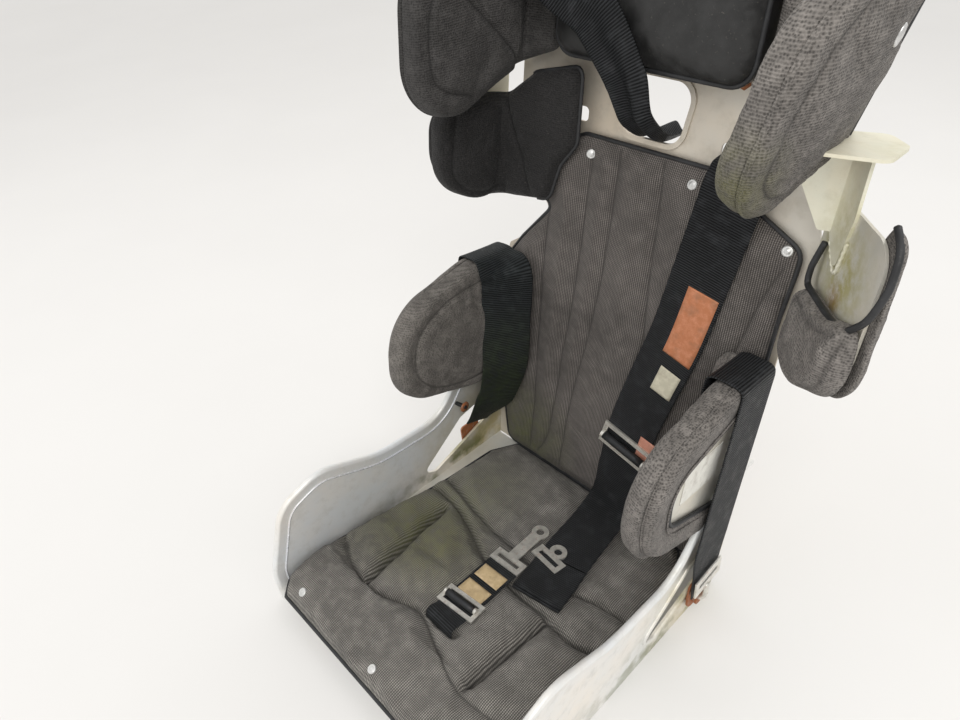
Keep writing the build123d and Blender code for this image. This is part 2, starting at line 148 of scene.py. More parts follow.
class Graph:
    """Short names for the nodes that the materials here are made of."""

    def __init__(self, tree):
        tree.nodes.clear()
        self.tree = tree

    def feed(self, made, inputs):
        """Inputs given by name or number, each as a socket to link or as a plain value."""
        for name, value in inputs.items():
            if isinstance(value, bpy.types.NodeSocket):
                self.tree.links.new(value, made.inputs[name])
            else:
                made.inputs[name].default_value = value
        return made

    def node(self, kind, inputs=None, **settings):
        made = self.tree.nodes.new("ShaderNode" + kind)
        for name, value in settings.items():
            setattr(made, name, value)
        return self.feed(made, inputs or {})

    def place(self, kind="Object", scale=(1, 1, 1)):
        coords = self.node("TexCoord").outputs[kind]
        return self.node("Mapping", {"Vector": coords, "Scale": scale}).outputs["Vector"]

    def noise(self, scale, detail=4.0, rough=0.55, vector=None):
        vector = self.place() if vector is None else vector
        inputs = {"Vector": vector, "Scale": scale, "Detail": detail, "Roughness": rough}
        return self.node("TexNoise", inputs).outputs["Fac"]

    def wave(self, vector, scale, axis, distortion=0.0):
        inputs = {"Vector": vector, "Scale": scale, "Distortion": distortion, "Detail": 0.0}
        return self.node("TexWave", inputs, bands_direction=axis).outputs["Fac"]

    def math(self, kind, a, b, clamp=False):
        return self.node("Math", {0: a, 1: b}, operation=kind, use_clamp=clamp).outputs["Value"]

    def times(self, a, b, clamp=False):
        return self.math("MULTIPLY", a, b, clamp)

    def plus(self, a, b, clamp=False):
        return self.math("ADD", a, b, clamp)

    def fade(self, fac, start, end, low=0.0, high=1.0):
        """A grey that goes from low at the start to high at the end."""
        made = self.node("ValToRGB", {"Fac": fac})
        for element, at, grey in zip(made.color_ramp.elements, (start, end), (low, high)):
            element.position = at
            element.color = (grey, grey, grey, 1.0)
        return made.outputs["Color"]

    def mix(self, fac, a, b):
        a, b = (c if isinstance(c, bpy.types.NodeSocket) else (*c, 1.0) for c in (a, b))
        return self.node("Mix", {0: fac, 6: a, 7: b}, data_type="RGBA").outputs[2]

    def tint(self, base, fac, amount, colour, clamp=False):
        """A colour laid over the base by an amount, where the factor says."""
        return self.mix(self.times(fac, amount, clamp), base, colour)

    def height(self, low, high):
        """0 below the first height of the object's own frame and 1 above the second."""
        split = self.node("SeparateXYZ", {"Vector": self.node("TexCoord").outputs["Object"]})
        inputs = {"Value": split.outputs["Z"], "From Min": low, "From Max": high}
        return self.node("MapRange", inputs).outputs["Result"]

    def near(self, point, reach):
        """1 at a point of the row's frame and 0 from a reach away."""
        coords = self.node("TexCoord").outputs["Object"]
        apart = self.node("VectorMath", {0: coords, 1: point}, operation="DISTANCE")
        inputs = {"Value": apart.outputs["Value"], "From Min": reach, "From Max": 0.0}
        return self.node("MapRange", inputs).outputs["Result"]

    def patches(self, base, places, cover, gain=1.0, clamp=False):
        """Colours round places given as (point, reach, amount, colour), as far as the cover lets them."""
        for point, reach, amount, colour in places:
            base = self.tint(base, self.times(self.near(point, reach), cover), amount * gain, colour, clamp)
        return base

    def bump(self, height, strength, distance, before=None):
        inputs = {"Height": height, "Strength": strength, "Distance": distance}
        if before is not None:
            inputs["Normal"] = before
        return self.node("Bump", inputs).outputs["Normal"]


def new_material(name):
    material = bpy.data.materials.new(name)
    material.use_nodes = True
    g = Graph(material.node_tree)
    shader = g.node("BsdfPrincipled")
    g.node("OutputMaterial", {"Surface": shader.outputs["BSDF"]})
    return material, g, shader


def shaded(colour, factor, lift=0.0):
    return tuple(min(1.0, c * factor + lift) for c in colour)


def cloth_material(name, colour, pitch, depth, dust, stains=(), holes=KNITTED, woven=False):
    """Cover cloth, woven along the piece's own UV metres or knitted as a mesh, dusty and faded."""
    material, g, shader = new_material(name)
    place = g.place()
    if woven:
        uv = g.place("UV")
        weft = g.wave(uv, WEFT_LENGTH / pitch, "Y", 0.22)
        threads = g.times(g.wave(uv, WAVE_LENGTH / pitch, "X", 0.22), g.plus(g.times(weft, 0.7), 0.3))
    else:
        cells = g.node("TexVoronoi", {"Vector": place, "Scale": 1.0 / pitch, "Randomness": 0.6}, feature="F1")
        rows = g.wave(place, WAVE_LENGTH / pitch, "Z", 0.5)
        threads = g.times(g.times(cells.outputs["Distance"], 1.35, True), g.plus(g.times(rows, 0.45), 0.55))
    fine = g.noise(60.0)
    base = g.mix(g.fade(g.noise(7.0, 5.0), 0.35, 0.68), shaded(colour, 0.62), colour)
    base = g.tint(base, g.fade(fine, 0.42, 0.72), dust, shaded(colour, 1.55, 0.012))
    base = g.tint(base, g.fade(threads, 0.12, 0.62, 1.0, 0.0), WOVEN if woven else holes, shaded(colour, 0.1))
    base = g.patches(base, stains, g.fade(fine, 0.3, 0.65, 0.25))
    base = g.tint(base, g.fade(g.noise(420.0, 3.0, 0.7), 0.63, 0.74), 0.6 * dust, (0.40, 0.36, 0.31))
    # The cloth is painted darker along the sewn seams by the seam weight: painted shade in the seams' grooves.
    seam = g.node("Attribute", attribute_name="seam").outputs["Fac"]
    base = g.tint(base, seam, 0.75, shaded(colour, 0.2))
    normal = g.bump(g.noise(26.0, 5.0), 0.5, 0.0022, g.bump(threads, 1.0, depth * 1.6))
    g.feed(shader, {"Base Color": base, "Roughness": g.fade(fine, 0.3, 0.7, 0.72, 0.94), "Normal": normal,
                    "Sheen Weight": 0.06, "Sheen Roughness": 0.45, "Specular IOR Level": 0.3})
    return material


def webbing_material(name, colour, stains=()):
    """Ribbed woven belt: ribs across it, finer threads along it, faded and dirty places."""
    material, g, shader = new_material(name)
    uv = g.place("UV")
    ribs = g.wave(uv, WAVE_LENGTH / RIB_PITCH, "Y", 0.15)
    threads = g.wave(uv, WAVE_LENGTH / THREAD_PITCH, "X", 0.25)
    fine = g.noise(70.0, 5.0)
    base = g.mix(g.fade(g.noise(10.0), 0.35, 0.7), shaded(colour, 0.7), colour)
    base = g.tint(base, g.fade(ribs, 0.15, 0.65, 1.0, 0.0), 0.9, shaded(colour, 0.08))
    base = g.tint(base, g.fade(fine, 0.5, 0.8), 0.35, shaded(colour, 2.4, 0.01))
    base = g.patches(base, stains, g.fade(fine, 0.35, 0.65, 0.2))
    base = g.tint(base, g.fade(g.noise(520.0, 2.0, 0.7), 0.7, 0.8), 0.16, (0.3, 0.28, 0.25))
    weave = g.bump(g.plus(g.times(ribs, 1.0), g.times(threads, 0.25)), 1.0, 0.0010)
    g.feed(shader, {"Base Color": base, "Roughness": g.fade(fine, 0.3, 0.75, 0.36, 0.62),
                    "Specular IOR Level": 0.16, "Normal": g.bump(g.noise(34.0), 0.35, 0.0016, weave)})
    return material


def aluminium_material(name, colour, rough=0.42, stain=0.35, bright=False):
    """Dull mill-finish sheet: fine brushing, water stains, dirt specks, paler worn places."""
    material, g, shader = new_material(name)
    brushed = g.noise(9.0, 6.0, 0.65, g.place(scale=(4.0, 4.0, 70.0)))
    fine = g.noise(46.0, 6.0, 0.65)
    cool, warm = (tuple(c * k for c, k in zip(colour, tone)) for tone in ((0.93, 0.97, 1.04), (1.03, 0.99, 0.96)))
    base = g.mix(g.fade(g.noise(5.0, 5.0, 0.6), 0.38, 0.64), cool, warm)
    base = g.tint(base, g.fade(fine, 0.5, 0.75), stain, shaded(colour, 0.72))
    base = g.tint(base, g.fade(g.noise(360.0, 3.0, 0.7), 0.68, 0.76), 0.3 * stain, (0.16, 0.13, 0.09))
    low, high = (rough - 0.14, rough + 0.06) if bright else (rough - 0.06, rough + 0.16)
    g.feed(shader, {"Base Color": base, "Roughness": g.fade(fine, 0.3, 0.7, low, high), "Metallic": 0.35,
                    "Normal": g.bump(g.noise(16.0, 3.0), 0.3, 0.0016, g.bump(brushed, 0.35, 0.0004))})
    return material, g, base, shader


def panel_material(name, side):
    """The hip panels: cream and mossy in the corner by the lap opening."""
    material, g, base, shader = aluminium_material(name, (0.80, 0.79, 0.75), 0.4, 0.6)
    x = side * HIP_HALF / 1000
    cream = g.times(g.near((x, 0.20, 0.035), 0.17), g.fade(g.noise(34.0, 5.0), 0.3, 0.6, 0.35))
    base = g.tint(base, cream, 1.15, (0.5, 0.43, 0.24), True)
    low = g.math("SUBTRACT", 1.0, g.height(0.018, 0.052))
    moss = g.times(g.times(low, g.fade(g.noise(24.0, 5.0), 0.44, 0.6)), g.near((x, 0.14, 0.03), 0.26))
    g.feed(shader, {"Base Color": g.tint(base, moss, 0.9, (0.12, 0.13, 0.02), True)})
    return material


def stained_metal(name, colour, stains):
    """Aluminium with rust and moss in places."""
    material, g, base, shader = aluminium_material(name, colour, 0.46, 0.5)
    cover = g.fade(g.noise(70.0, 6.0, 0.7), 0.35, 0.6, 0.1)
    g.feed(shader, {"Base Color": g.patches(base, stains, cover, 1.4, True)})
    return material


def steel_material(name, colour, rust=0.3, rough=0.34):
    material, g, shader = new_material(name)
    fine = g.noise(90.0, 6.0, 0.65)
    spread = g.fade(g.noise(150.0, 5.0, 0.7), 0.62 - 0.3 * rust, 0.74 - 0.3 * rust)
    base = g.mix(g.fade(fine, 0.35, 0.7), shaded(colour, 0.72), colour)
    base = g.tint(base, spread, min(1.0, rust * 1.4), (0.29, 0.1, 0.035))
    metal = g.math("SUBTRACT", 0.72, g.times(spread, 0.7 * min(1.0, rust * 2)))
    g.feed(shader, {"Base Color": base, "Metallic": metal, "Normal": g.bump(fine, 0.4, 0.0005),
                    "Roughness": g.plus(g.times(fine, 0.3), rough - 0.12, True)})
    return material


def vinyl_material(name, colour, rough):
    material, g, shader = new_material(name)
    grain = g.node("TexVoronoi", {"Vector": g.place(), "Scale": 620.0}, feature="DISTANCE_TO_EDGE")
    fine = g.noise(45.0, 5.0)
    base = g.mix(g.fade(fine, 0.4, 0.75), colour, shaded(colour, 1.9, 0.006))
    base = g.tint(base, g.fade(g.noise(300.0, 3.0, 0.7), 0.64, 0.74), 0.25, (0.26, 0.24, 0.2))
    first = g.bump(grain.outputs["Distance"], 0.35, 0.0004)
    g.feed(shader, {"Base Color": base, "Roughness": g.fade(fine, 0.3, 0.7, rough - 0.08, rough + 0.16),
                    "Normal": g.bump(g.noise(22.0), 0.3, 0.002, first)})
    return material


def label_material(name, colour, worn=0.5):
    """A blank sewn label, faded and scuffed."""
    material, g, shader = new_material(name)
    uv = g.place("UV")
    base = g.tint(colour, g.fade(g.noise(110.0, 6.0, 0.7), 0.42, 0.66), worn, shaded(colour, 1.25, 0.09))
    base = g.tint(base, g.fade(g.noise(60.0, 5.0), 0.5, 0.7), 0.4, (0.17, 0.12, 0.08))
    warp, weft = (g.wave(uv, WAVE_LENGTH / LABEL_PITCH, axis) for axis in "XY")
    g.feed(shader, {"Base Color": base, "Roughness": 0.72, "Normal": g.bump(g.times(warp, weft), 0.5, 0.0002)})
    return material


CUSHION_MOSS = (
    ((-0.155, -0.02, 0.035), 0.13, 0.75, (0.10, 0.105, 0.03)),
    ((-0.075, -0.035, 0.035), 0.10, 0.55, (0.115, 0.115, 0.035)),
    ((-0.12, 0.10, 0.02), 0.10, 0.5, (0.09, 0.10, 0.03)),
)
BACK_MOSS = (((-0.15, 0.215, 0.05), 0.13, 0.8, (0.085, 0.095, 0.03)),)
HEAD_MOSS = (((0.205, 0.10, 0.625), 0.075, 0.8, (0.12, 0.12, 0.035)),)
BELT_MOSS = (((-0.19, 0.2, 0.17), 0.15, 0.85, (0.03, 0.042, 0.014)),)
WING_STAINS = (
    ((0.267, 0.2345, 0.495), 0.022, 0.95, (0.24, 0.06, 0.03)),
    ((0.275, 0.235, 0.52), 0.07, 0.7, (0.42, 0.38, 0.12)),
    ((0.24, 0.28, 0.53), 0.06, 0.5, (0.45, 0.42, 0.2)),
)
BRACE_STAINS = (
    ((0.262, 0.26, 0.56), 0.05, 0.55, (0.5, 0.46, 0.22)),
    ((0.30, 0.27, 0.645), 0.06, 0.4, (0.5, 0.47, 0.25)),
)
cushion_cloth = cloth_material("cushion_cloth", (0.33, 0.312, 0.285), 0.0026, 0.0006, 0.6, CUSHION_MOSS,
                               woven=True)
back_cloth = cloth_material("back_cloth", (0.225, 0.203, 0.188), 0.0025, 0.0005, 0.45, BACK_MOSS, woven=True)
# Darker copies of the pad cloth for the far head pad and the far shoulder pad: their low base colours are painted
# shade.
far_shade_cloth = cloth_material("far_shade_cloth", (0.066, 0.063, 0.061), 0.0026, 0.0006, 0.3)
deep_shade_cloth = cloth_material("deep_shade_cloth", (0.024, 0.023, 0.023), 0.0026, 0.0006, 0.2)
rib_cloth = cloth_material("rib_cloth", (0.168, 0.155, 0.141), 0.0025, 0.0007, 0.5)
mesh_cloth = cloth_material("mesh_cloth", (0.215, 0.198, 0.183), 0.0027, 0.0010, 0.45, HEAD_MOSS, OPEN_MESH)
belt_cloth = webbing_material("belt_cloth", (0.033, 0.035, 0.038))
mossy_belt = webbing_material("mossy_belt", (0.030, 0.035, 0.037), BELT_MOSS)
piping_black = vinyl_material("piping_black", (0.014, 0.0145, 0.016), 0.5)
headrest_vinyl = vinyl_material("headrest_vinyl", (0.0135, 0.0135, 0.0135), 0.46)
shell_metal, *_ = aluminium_material("shell_metal", (0.66, 0.60, 0.50), 0.5, 0.5)
edge_metal, *_ = aluminium_material("edge_metal", (0.72, 0.72, 0.72), 0.3, 0.2, True)
wing_metal = stained_metal("wing_metal", (0.70, 0.66, 0.56), WING_STAINS)
brace_metal = stained_metal("brace_metal", (0.82, 0.77, 0.60), BRACE_STAINS)
pan_metal, *_ = aluminium_material("pan_metal", (0.66, 0.65, 0.6), 0.42)
snap_metal = steel_material("snap_metal", (0.78, 0.78, 0.77), 0.12, 0.34)
buckle_metal = steel_material("buckle_metal", (0.84, 0.82, 0.76), 0.26, 0.38)
rusty_metal = steel_material("rusty_metal", (0.42, 0.36, 0.31), 0.95, 0.6)
black_metal = steel_material("black_metal", (0.05, 0.052, 0.055), 0.1, 0.45)
orange_label = label_material("orange_label", (0.46, 0.17, 0.075))
cream_label = label_material("cream_label", (0.52, 0.49, 0.38))
pink_label = label_material("pink_label", (0.52, 0.23, 0.16))
tan_label = label_material("tan_label", (0.47, 0.35, 0.19))
white_label = label_material("white_label", (0.66, 0.65, 0.6), 0.3)


def paint(obj, material):
    obj.data.materials.clear()
    obj.data.materials.append(material)


# Floor and light
FLOOR_HALF, FLOOR_Z = 9.0, -0.0182


def add_stage():
    mesh = bpy.data.meshes.new("floor")
    corners = [(x * FLOOR_HALF, y * FLOOR_HALF, FLOOR_Z) for x, y in ((-1, -1), (1, -1), (1, 1), (-1, 1))]
    mesh.from_pydata(corners, [], [(0, 1, 2, 3)])
    floor = add_to_scene("floor", mesh)
    material, g, shader = new_material("floor_paper")
    tone = g.mix(g.noise(2.2, 3.0), (0.70, 0.695, 0.685), (0.735, 0.73, 0.72))
    g.feed(shader, {"Base Color": tone, "Roughness": 0.9})
    paint(floor, material)

    world = bpy.data.worlds.new("world")
    bpy.context.scene.world = world
    world.use_nodes = True
    g = Graph(world.node_tree)
    light = g.node("Background", {"Color": (1.0, 0.985, 0.965, 1.0), "Strength": 1.03})
    seen = g.node("Background", {"Color": (0.76, 0.755, 0.745, 1.0), "Strength": 1.0})
    rays = g.node("LightPath").outputs
    shown = g.math("MAXIMUM", rays["Is Camera Ray"], rays["Is Transmission Ray"])
    shown = g.math("MAXIMUM", shown, rays["Is Glossy Ray"])
    mix = g.node("MixShader", {0: shown, 1: light.outputs[0], 2: seen.outputs[0]})
    g.node("OutputWorld", {"Surface": mix.outputs[0]})


def add_lamp(name, place, target, size, power, colour):
    data = bpy.data.lights.new(name, "AREA")
    data.shape = "DISK"
    data.size = size
    data.energy = power
    data.color = colour
    lamp = add_to_scene(name, data)
    lamp.location = place
    lamp.rotation_euler = (Vector(place) - Vector(target)).to_track_quat("Z", "Y").to_euler()


add_stage()
add_lamp("key", (1.4, -1.3, 2.5), (0, 0.05, 0.35), 1.6, 34, (1.0, 0.985, 0.96))
add_lamp("fill", (-1.9, -0.9, 1.7), (0, 0.05, 0.35), 1.8, 6, (1.0, 0.99, 0.98))
add_lamp("back", (0.3, 1.9, 1.9), (0, 0.1, 0.4), 1.4, 7, (1.0, 1.0, 1.0))


# Outlines: rows of (u, v, corner radius), sampled as closed polylines
def corner_arc(before, here, after, step):
    point, radius = np.array(here[:2], float), here[2]
    if radius <= 0:
        return [point]
    a, b = unit(np.array(before[:2]) - point), unit(np.array(after[:2]) - point)
    half = math.acos(max(-1.0, min(1.0, float(a @ b)))) / 2
    reach = radius / math.tan(half)
    centre = point + unit(a + b) * radius / math.sin(half)
    first, last = (math.atan2(*(point + k * reach - centre)[::-1]) for k in (a, b))
    sweep = (last - first + math.pi) % (2 * math.pi) - math.pi
    count = max(2, int(abs(sweep) * radius / step))
    angles = [first + sweep * i / count for i in range(count + 1)]
    return [centre + radius * np.array([math.cos(angle), math.sin(angle)]) for angle in angles]


def outline(rows, step=5.0, closed=True):
    """Points about a step apart along rounded rows."""
    count = len(rows)
    line = []
    for i in range(count):
        if not closed and i in (0, count - 1):
            line.append(np.array(rows[i][:2], float))
        else:
            line.extend(corner_arc(rows[i - 1], rows[i], rows[(i + 1) % count], step))
    return resample(np.array(line), step, closed)


def resample(line, step, closed=False):
    if closed:
        line = np.vstack([line, line[:1]])
    line = line[np.concatenate([[True], np.linalg.norm(np.diff(line, axis=0), axis=1) > 1e-6])]
    at = along(line)
    picks = np.linspace(0, at[-1], max(3, int(round(at[-1] / step))) + 1)
    out = np.stack([np.interp(picks, at, line[:, i]) for i in range(line.shape[1])], 1)
    return out[:-1] if closed else out


def handedness(border):
    """1 for a border that runs anticlockwise and -1 for one that runs clockwise."""
    after = np.roll(border, -1, axis=0)
    return 1 if (border[:, 0] * after[:, 1] - after[:, 0] * border[:, 1]).sum() > 0 else -1


def left_of(directions):
    return np.stack([-directions[:, 1], directions[:, 0]], 1)


def inward_of(border):
    return left_of(unit(np.roll(border, -1, axis=0) - np.roll(border, 1, axis=0))) * handedness(border)


def grown(rows, amount):
    """The rows of an outline with its straight sides moved outward."""
    points = np.array([row[:2] for row in rows], float)
    side = handedness(points)
    before = unit(points - np.roll(points, 1, axis=0))
    after = np.roll(before, -1, axis=0)
    shift = -(left_of(before) + left_of(after)) * side * amount
    shift /= 1 + (before * after).sum(1)[:, None]
    convex = (before[:, 0] * after[:, 1] - before[:, 1] * after[:, 0]) * side > 0
    radii = [max(row[2] + (amount if out else -amount), 0) for row, out in zip(rows, convex)]
    return [(*point, radius) for point, radius in zip(points + shift, radii)]


def smooth_line(points, step=4.0, parts=12):
    """A Catmull-Rom curve through points, sampled a step apart."""
    p = np.array(points, float)
    p = np.vstack([p[:1], p, p[-1:]])
    t = np.linspace(0, 1, parts, endpoint=False)[:, None]
    spans = [0.5 * (2 * b + (c - a) * t + (2 * a - 5 * b + 4 * c - d) * t * t + (3 * b - a - 3 * c + d) * t ** 3)
             for a, b, c, d in zip(p, p[1:], p[2:], p[3:])]
    return resample(np.vstack(spans + [p[-1:]]), step)


def distance_to(points, line, closed=True):
    """Distance of points from a polyline."""
    a = np.asarray(line, float)
    b = np.roll(a, -1, axis=0) if closed else a[1:]
    a = a if closed else a[:-1]
    d = b - a
    rel = points[:, None, :] - a[None]
    t = np.clip((rel * d[None]).sum(2) / np.maximum((d * d).sum(1), 1e-12)[None], 0, 1)
    gap = rel - t[..., None] * d[None]
    return np.sqrt((gap ** 2).sum(2)).min(1)


def inside(points, line):
    x, y = points[:, 0][:, None], points[:, 1][:, None]
    ax, ay = line[:, 0][None], line[:, 1][None]
    bx, by = np.roll(line[:, 0], -1)[None], np.roll(line[:, 1], -1)[None]
    crosses = ((ay > y) != (by > y)) & (x < (bx - ax) * (y - ay) / (by - ay + 1e-12) + ax)
    return crosses.sum(1) % 2 == 1


# Triangles of a filled outline: rings inside its border, lines beside its seams, and a grid in between
RINGS, BACK_RINGS = (1.2, 3.5, 7.0, 11.5), (3.0, 8.0)
SEAM_LINES, SEAM_CLEAR = (0.0, 2.2, -2.2, 6.0, -6.0), 6.0
CELL, CLOSEST = 2.0, 1.6


def fill(border, step, seams=(), rings=RINGS):
    """Triangles over a closed border, whose points come first."""
    inward = inward_of(border)
    kept = [border]
    for depth in rings:
        ring = border + inward * depth
        ring = ring[inside(ring, border) & (distance_to(ring, border) > depth * 0.93)]
        if len(ring) > 3:
            chosen = [ring[0]]
            for point in ring[1:]:
                if np.linalg.norm(point - chosen[-1]) > step * 0.55:
                    chosen.append(point)
            kept.append(np.array(chosen))
    for line in seams:
        for gap in SEAM_LINES:
            points = line + left_of(unit(np.gradient(line, axis=0))) * gap
            kept.append(points[inside(points, border) & (distance_to(points, border) > 2.5)])
    low, high = border.min(0), border.max(0)
    xs = np.arange(low[0], high[0], step)
    ys = np.arange(low[1], high[1], step * 0.866)
    grid = np.array([(x + (step / 2 if j % 2 else 0), y) for j, y in enumerate(ys) for x in xs])
    grid = grid[inside(grid, border) & (distance_to(grid, border) > max(rings, default=0.0) + step * 0.6)]
    for line in seams:
        grid = grid[distance_to(grid, line, False) > SEAM_CLEAR + step * 0.5]
    points = np.vstack([k for k in kept + [grid] if len(k)])
    cells, tidy = {}, []
    for i, point in enumerate(points):
        x, y = (int(k // CELL) for k in point)
        around = (j for dx in (-1, 0, 1) for dy in (-1, 0, 1) for j in cells.get((x + dx, y + dy), ()))
        if i < len(border) or not any(np.linalg.norm(points[j] - point) < CLOSEST for j in around):
            cells.setdefault((x, y), []).append(i)
            tidy.append(i)
    result = delaunay_2d_cdt([Vector(p) for p in points[tidy]], [], [list(range(len(border)))], 1, 1e-5)
    return np.array([tuple(v) for v in result[0]]), [tuple(f) for f in result[2]]


def make_object(name, verts, faces, material, uvs=None, seam=None, smooth=True):
    """A mesh object from row-frame metres, with optional UVs for each face's corners and seam weights."""
    mesh = bpy.data.meshes.new(name)
    mesh.from_pydata([tuple(v) for v in verts], [], [tuple(f) for f in faces])
    mesh.update()
    if uvs is not None:
        mesh.uv_layers.new(name="metres").data.foreach_set("uv", np.array(uvs, float).ravel())
    if seam is not None:
        attribute = mesh.attributes.new("seam", "FLOAT", "POINT")
        attribute.data.foreach_set("value", np.asarray(seam, float))
    mesh.materials.append(material)
    if smooth:
        mesh.polygons.foreach_set("use_smooth", [True] * len(mesh.polygons))
    return add_to_scene(name, mesh)


def finish_piece(obj, replaces=()):
    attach(obj, "root")
    if replaces:
        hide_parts(*replaces)
    return obj


def place_on(origin, u_dir, v_dir, n_dir):
    """A function from plane coordinates and height to the row's frame."""
    def place(flat, height):
        flat, height = np.asarray(flat, float), np.asarray(height, float)
        return to_row(origin + flat[:, :1] * u_dir + flat[:, 1:2] * v_dir + height[:, None] * n_dir)

    return place


on_bottom = place_on(np.zeros(3), ACROSS, np.array([0.0, 1.0, 0.0]), UP)
on_cover = place_on(np.zeros(3), ACROSS, UPWARD, FORWARD)


def wing_place(side, root, flare, lean=0.0):
    turn, tilt = math.radians(flare), math.radians(lean)
    across = ACROSS * side
    ahead = FORWARD * math.cos(turn) + across * math.sin(turn)
    upright = across * math.cos(turn) - FORWARD * math.sin(turn)
    rise = UPWARD * math.cos(tilt) + upright * math.sin(tilt)
    outward = upright * math.cos(tilt) - UPWARD * math.sin(tilt)
    return place_on(across * root + (UPWARD - rise) * NECK_CORNER, ahead, rise, outward)


def puff(obj, pinned, pressure, cap, stretch, frames=20):
    """Cloth under pressure from inside, with its pinned points held, and its result kept in the mesh."""
    group = obj.vertex_groups.new(name="held")
    for i, weight in enumerate(pinned):
        if weight > 0:
            group.add([int(i)], float(weight), "REPLACE")
    before = np.array([tuple(v.co) for v in obj.data.vertices])
    modifier = obj.modifiers.new("cloth", "CLOTH")
    settings = {
        "quality": 5, "mass": 0.3, "tension_stiffness": 15.0, "compression_stiffness": 15.0, "shear_stiffness": 5,
        "bending_stiffness": 0.6, "use_pressure": True, "uniform_pressure_force": pressure,
        "vertex_group_mass": "held", "shrink_min": -stretch,
    }
    for name, value in settings.items():
        setattr(modifier.settings, name, value)
    modifier.settings.effector_weights.gravity = 0.0
    modifier.collision_settings.use_self_collision = False
    modifier.collision_settings.use_collision = False
    modifier.point_cache.frame_start = 1
    modifier.point_cache.frame_end = frames
    scene = bpy.context.scene
    for number in range(1, frames + 1):
        scene.frame_set(number)
    shaped = obj.evaluated_get(bpy.context.evaluated_depsgraph_get())
    after = np.array([tuple(v.co) for v in shaped.data.vertices])
    obj.modifiers.remove(modifier)
    scene.frame_set(1)
    if len(after) != len(before) or not np.isfinite(after).all():
        return
    move = after - before
    length = np.linalg.norm(move, axis=1)
    limit = np.where(length > cap, cap / np.maximum(length, 1e-9), 1.0)
    obj.data.vertices.foreach_set("co", (before + move * limit[:, None]).ravel())
    obj.data.update()


def add_tube(name, points, radius, material, closed=False, sides=10):
    """A round bead along row-frame points in metres, with UVs along it."""
    p = np.asarray(points, float)
    count = len(p)
    padded = np.vstack([p[-1:], p, p[:1]] if closed else [p[:1], p, p[-1:]])
    tangent = padded[2:] - padded[:-2]
    tangent /= np.maximum(np.linalg.norm(tangent, axis=1), 1e-9)[:, None]
    normal = unit(np.cross(tangent[0], [0.3, 0.2, 0.93]))
    verts, uvs = [], []
    for point, ahead, at in zip(p, tangent, along(p)):
        normal = unit(normal - ahead * (normal @ ahead))
        other = np.cross(ahead, normal)
        for k in range(sides):
            angle = 2 * math.pi * k / sides
            verts.append(point + radius * (normal * math.cos(angle) + other * math.sin(angle)))
            uvs.append((radius * angle, at))
    offset = 0
    if closed:
        last, first = np.array(verts[-sides:]), np.array(verts[:sides])
        offset = int(np.argmin([np.linalg.norm(last - np.roll(first, -k, axis=0)) for k in range(sides)]))
    faces = []
    for i in range(count if closed else count - 1):
        shift = offset if i == count - 1 else 0
        here, there = i * sides, (i + 1) % count * sides
        for k in range(sides):
            faces.append((here + k, here + (k + 1) % sides, there + (k + 1 + shift) % sides,
                          there + (k + shift) % sides))
    if not closed:
        faces += [tuple(reversed(range(sides))), tuple(range((count - 1) * sides, count * sides))]
    uvs = [uvs[i] for face in faces for i in face]
    finish_piece(make_object(name, verts, faces, material, uvs, level(verts, 0.0)))


def bevel(obj, width):
    modifier = obj.modifiers.new("soft_edges", "BEVEL")
    modifier.width = width
    modifier.segments = 2
    return modifier


# Bare metal nodes keep their shape and get softened edges
def dress_nodes():
    dress = {
        pan_metal: ["bottom_pan"], shell_metal: ["back_shell"],
        brace_metal: ["head_brace_left", "head_brace_right", "head_flange_left", "head_flange_right"],
        buckle_metal: ["shoulder_adjuster", "crotch_adjuster", "crotch_tongue", "belt_end_tab"],
        rusty_metal: ["anchor_bracket_left", "anchor_bracket_right"],
        wing_metal: [f"{wing}_wing_{side}" for wing in ("rib", "shoulder", "head") for side in ("left", "right")],
    }
    for side, name in ((1, "hip_panel_left"), (-1, "hip_panel_right")):
        dress[panel_material(name, side)] = [name]
    for material, names in dress.items():
        for name in names:
            paint(nodes[name], material)
            modifier = bevel(nodes[name], 0.0007)
            modifier.limit_method = "ANGLE"
            modifier.angle_limit = math.radians(50)


dress_nodes()


# Pads: a filled front, a filled back and rings between them, as one closed skin
def clip_chain(line, cut, step=4.5):
    """The part of a closed outline beyond u = cut, from one crossing to the other."""
    beyond = line[:, 0] > cut
    start = next(i for i in range(len(line)) if beyond[i] and not beyond[i - 1])
    line, beyond = np.roll(line, -start, axis=0), np.roll(beyond, -start)
    stop = int(np.argmin(beyond))
    crossings = ((line[-1], line[0]), (line[stop - 1], line[stop]))
    ends = [a + (b - a) * ((cut - a[0]) / (b[0] - a[0])) for a, b in crossings]
    return resample(np.vstack([ends[0], line[:stop], ends[1]]), step)


def close_chain(chain, step=6.0):
    """A chain and the straight line back to its start, as a closed border."""
    count = max(2, int(np.linalg.norm(chain[0] - chain[-1]) / step))
    return np.vstack([chain, [chain[-1] + (chain[0] - chain[-1]) * i / count for i in range(1, count)]])


def arc_lengths(line):
    return along(np.vstack([line, line[:1]]))


def ripple(points, size, amount, seed):
    """Smooth random unevenness at points of the row's frame, in millimetres."""
    shift = Vector((seed * 7.31, seed * 3.17, seed * 1.71))
    return np.array([noise.noise(Vector(p) * (1000.0 / size) + shift) for p in points]) * amount


BACK_UV_SHIFT = 3.0
SEAM_WIDTH, SEAM_HOLD = 1.5, 1.4


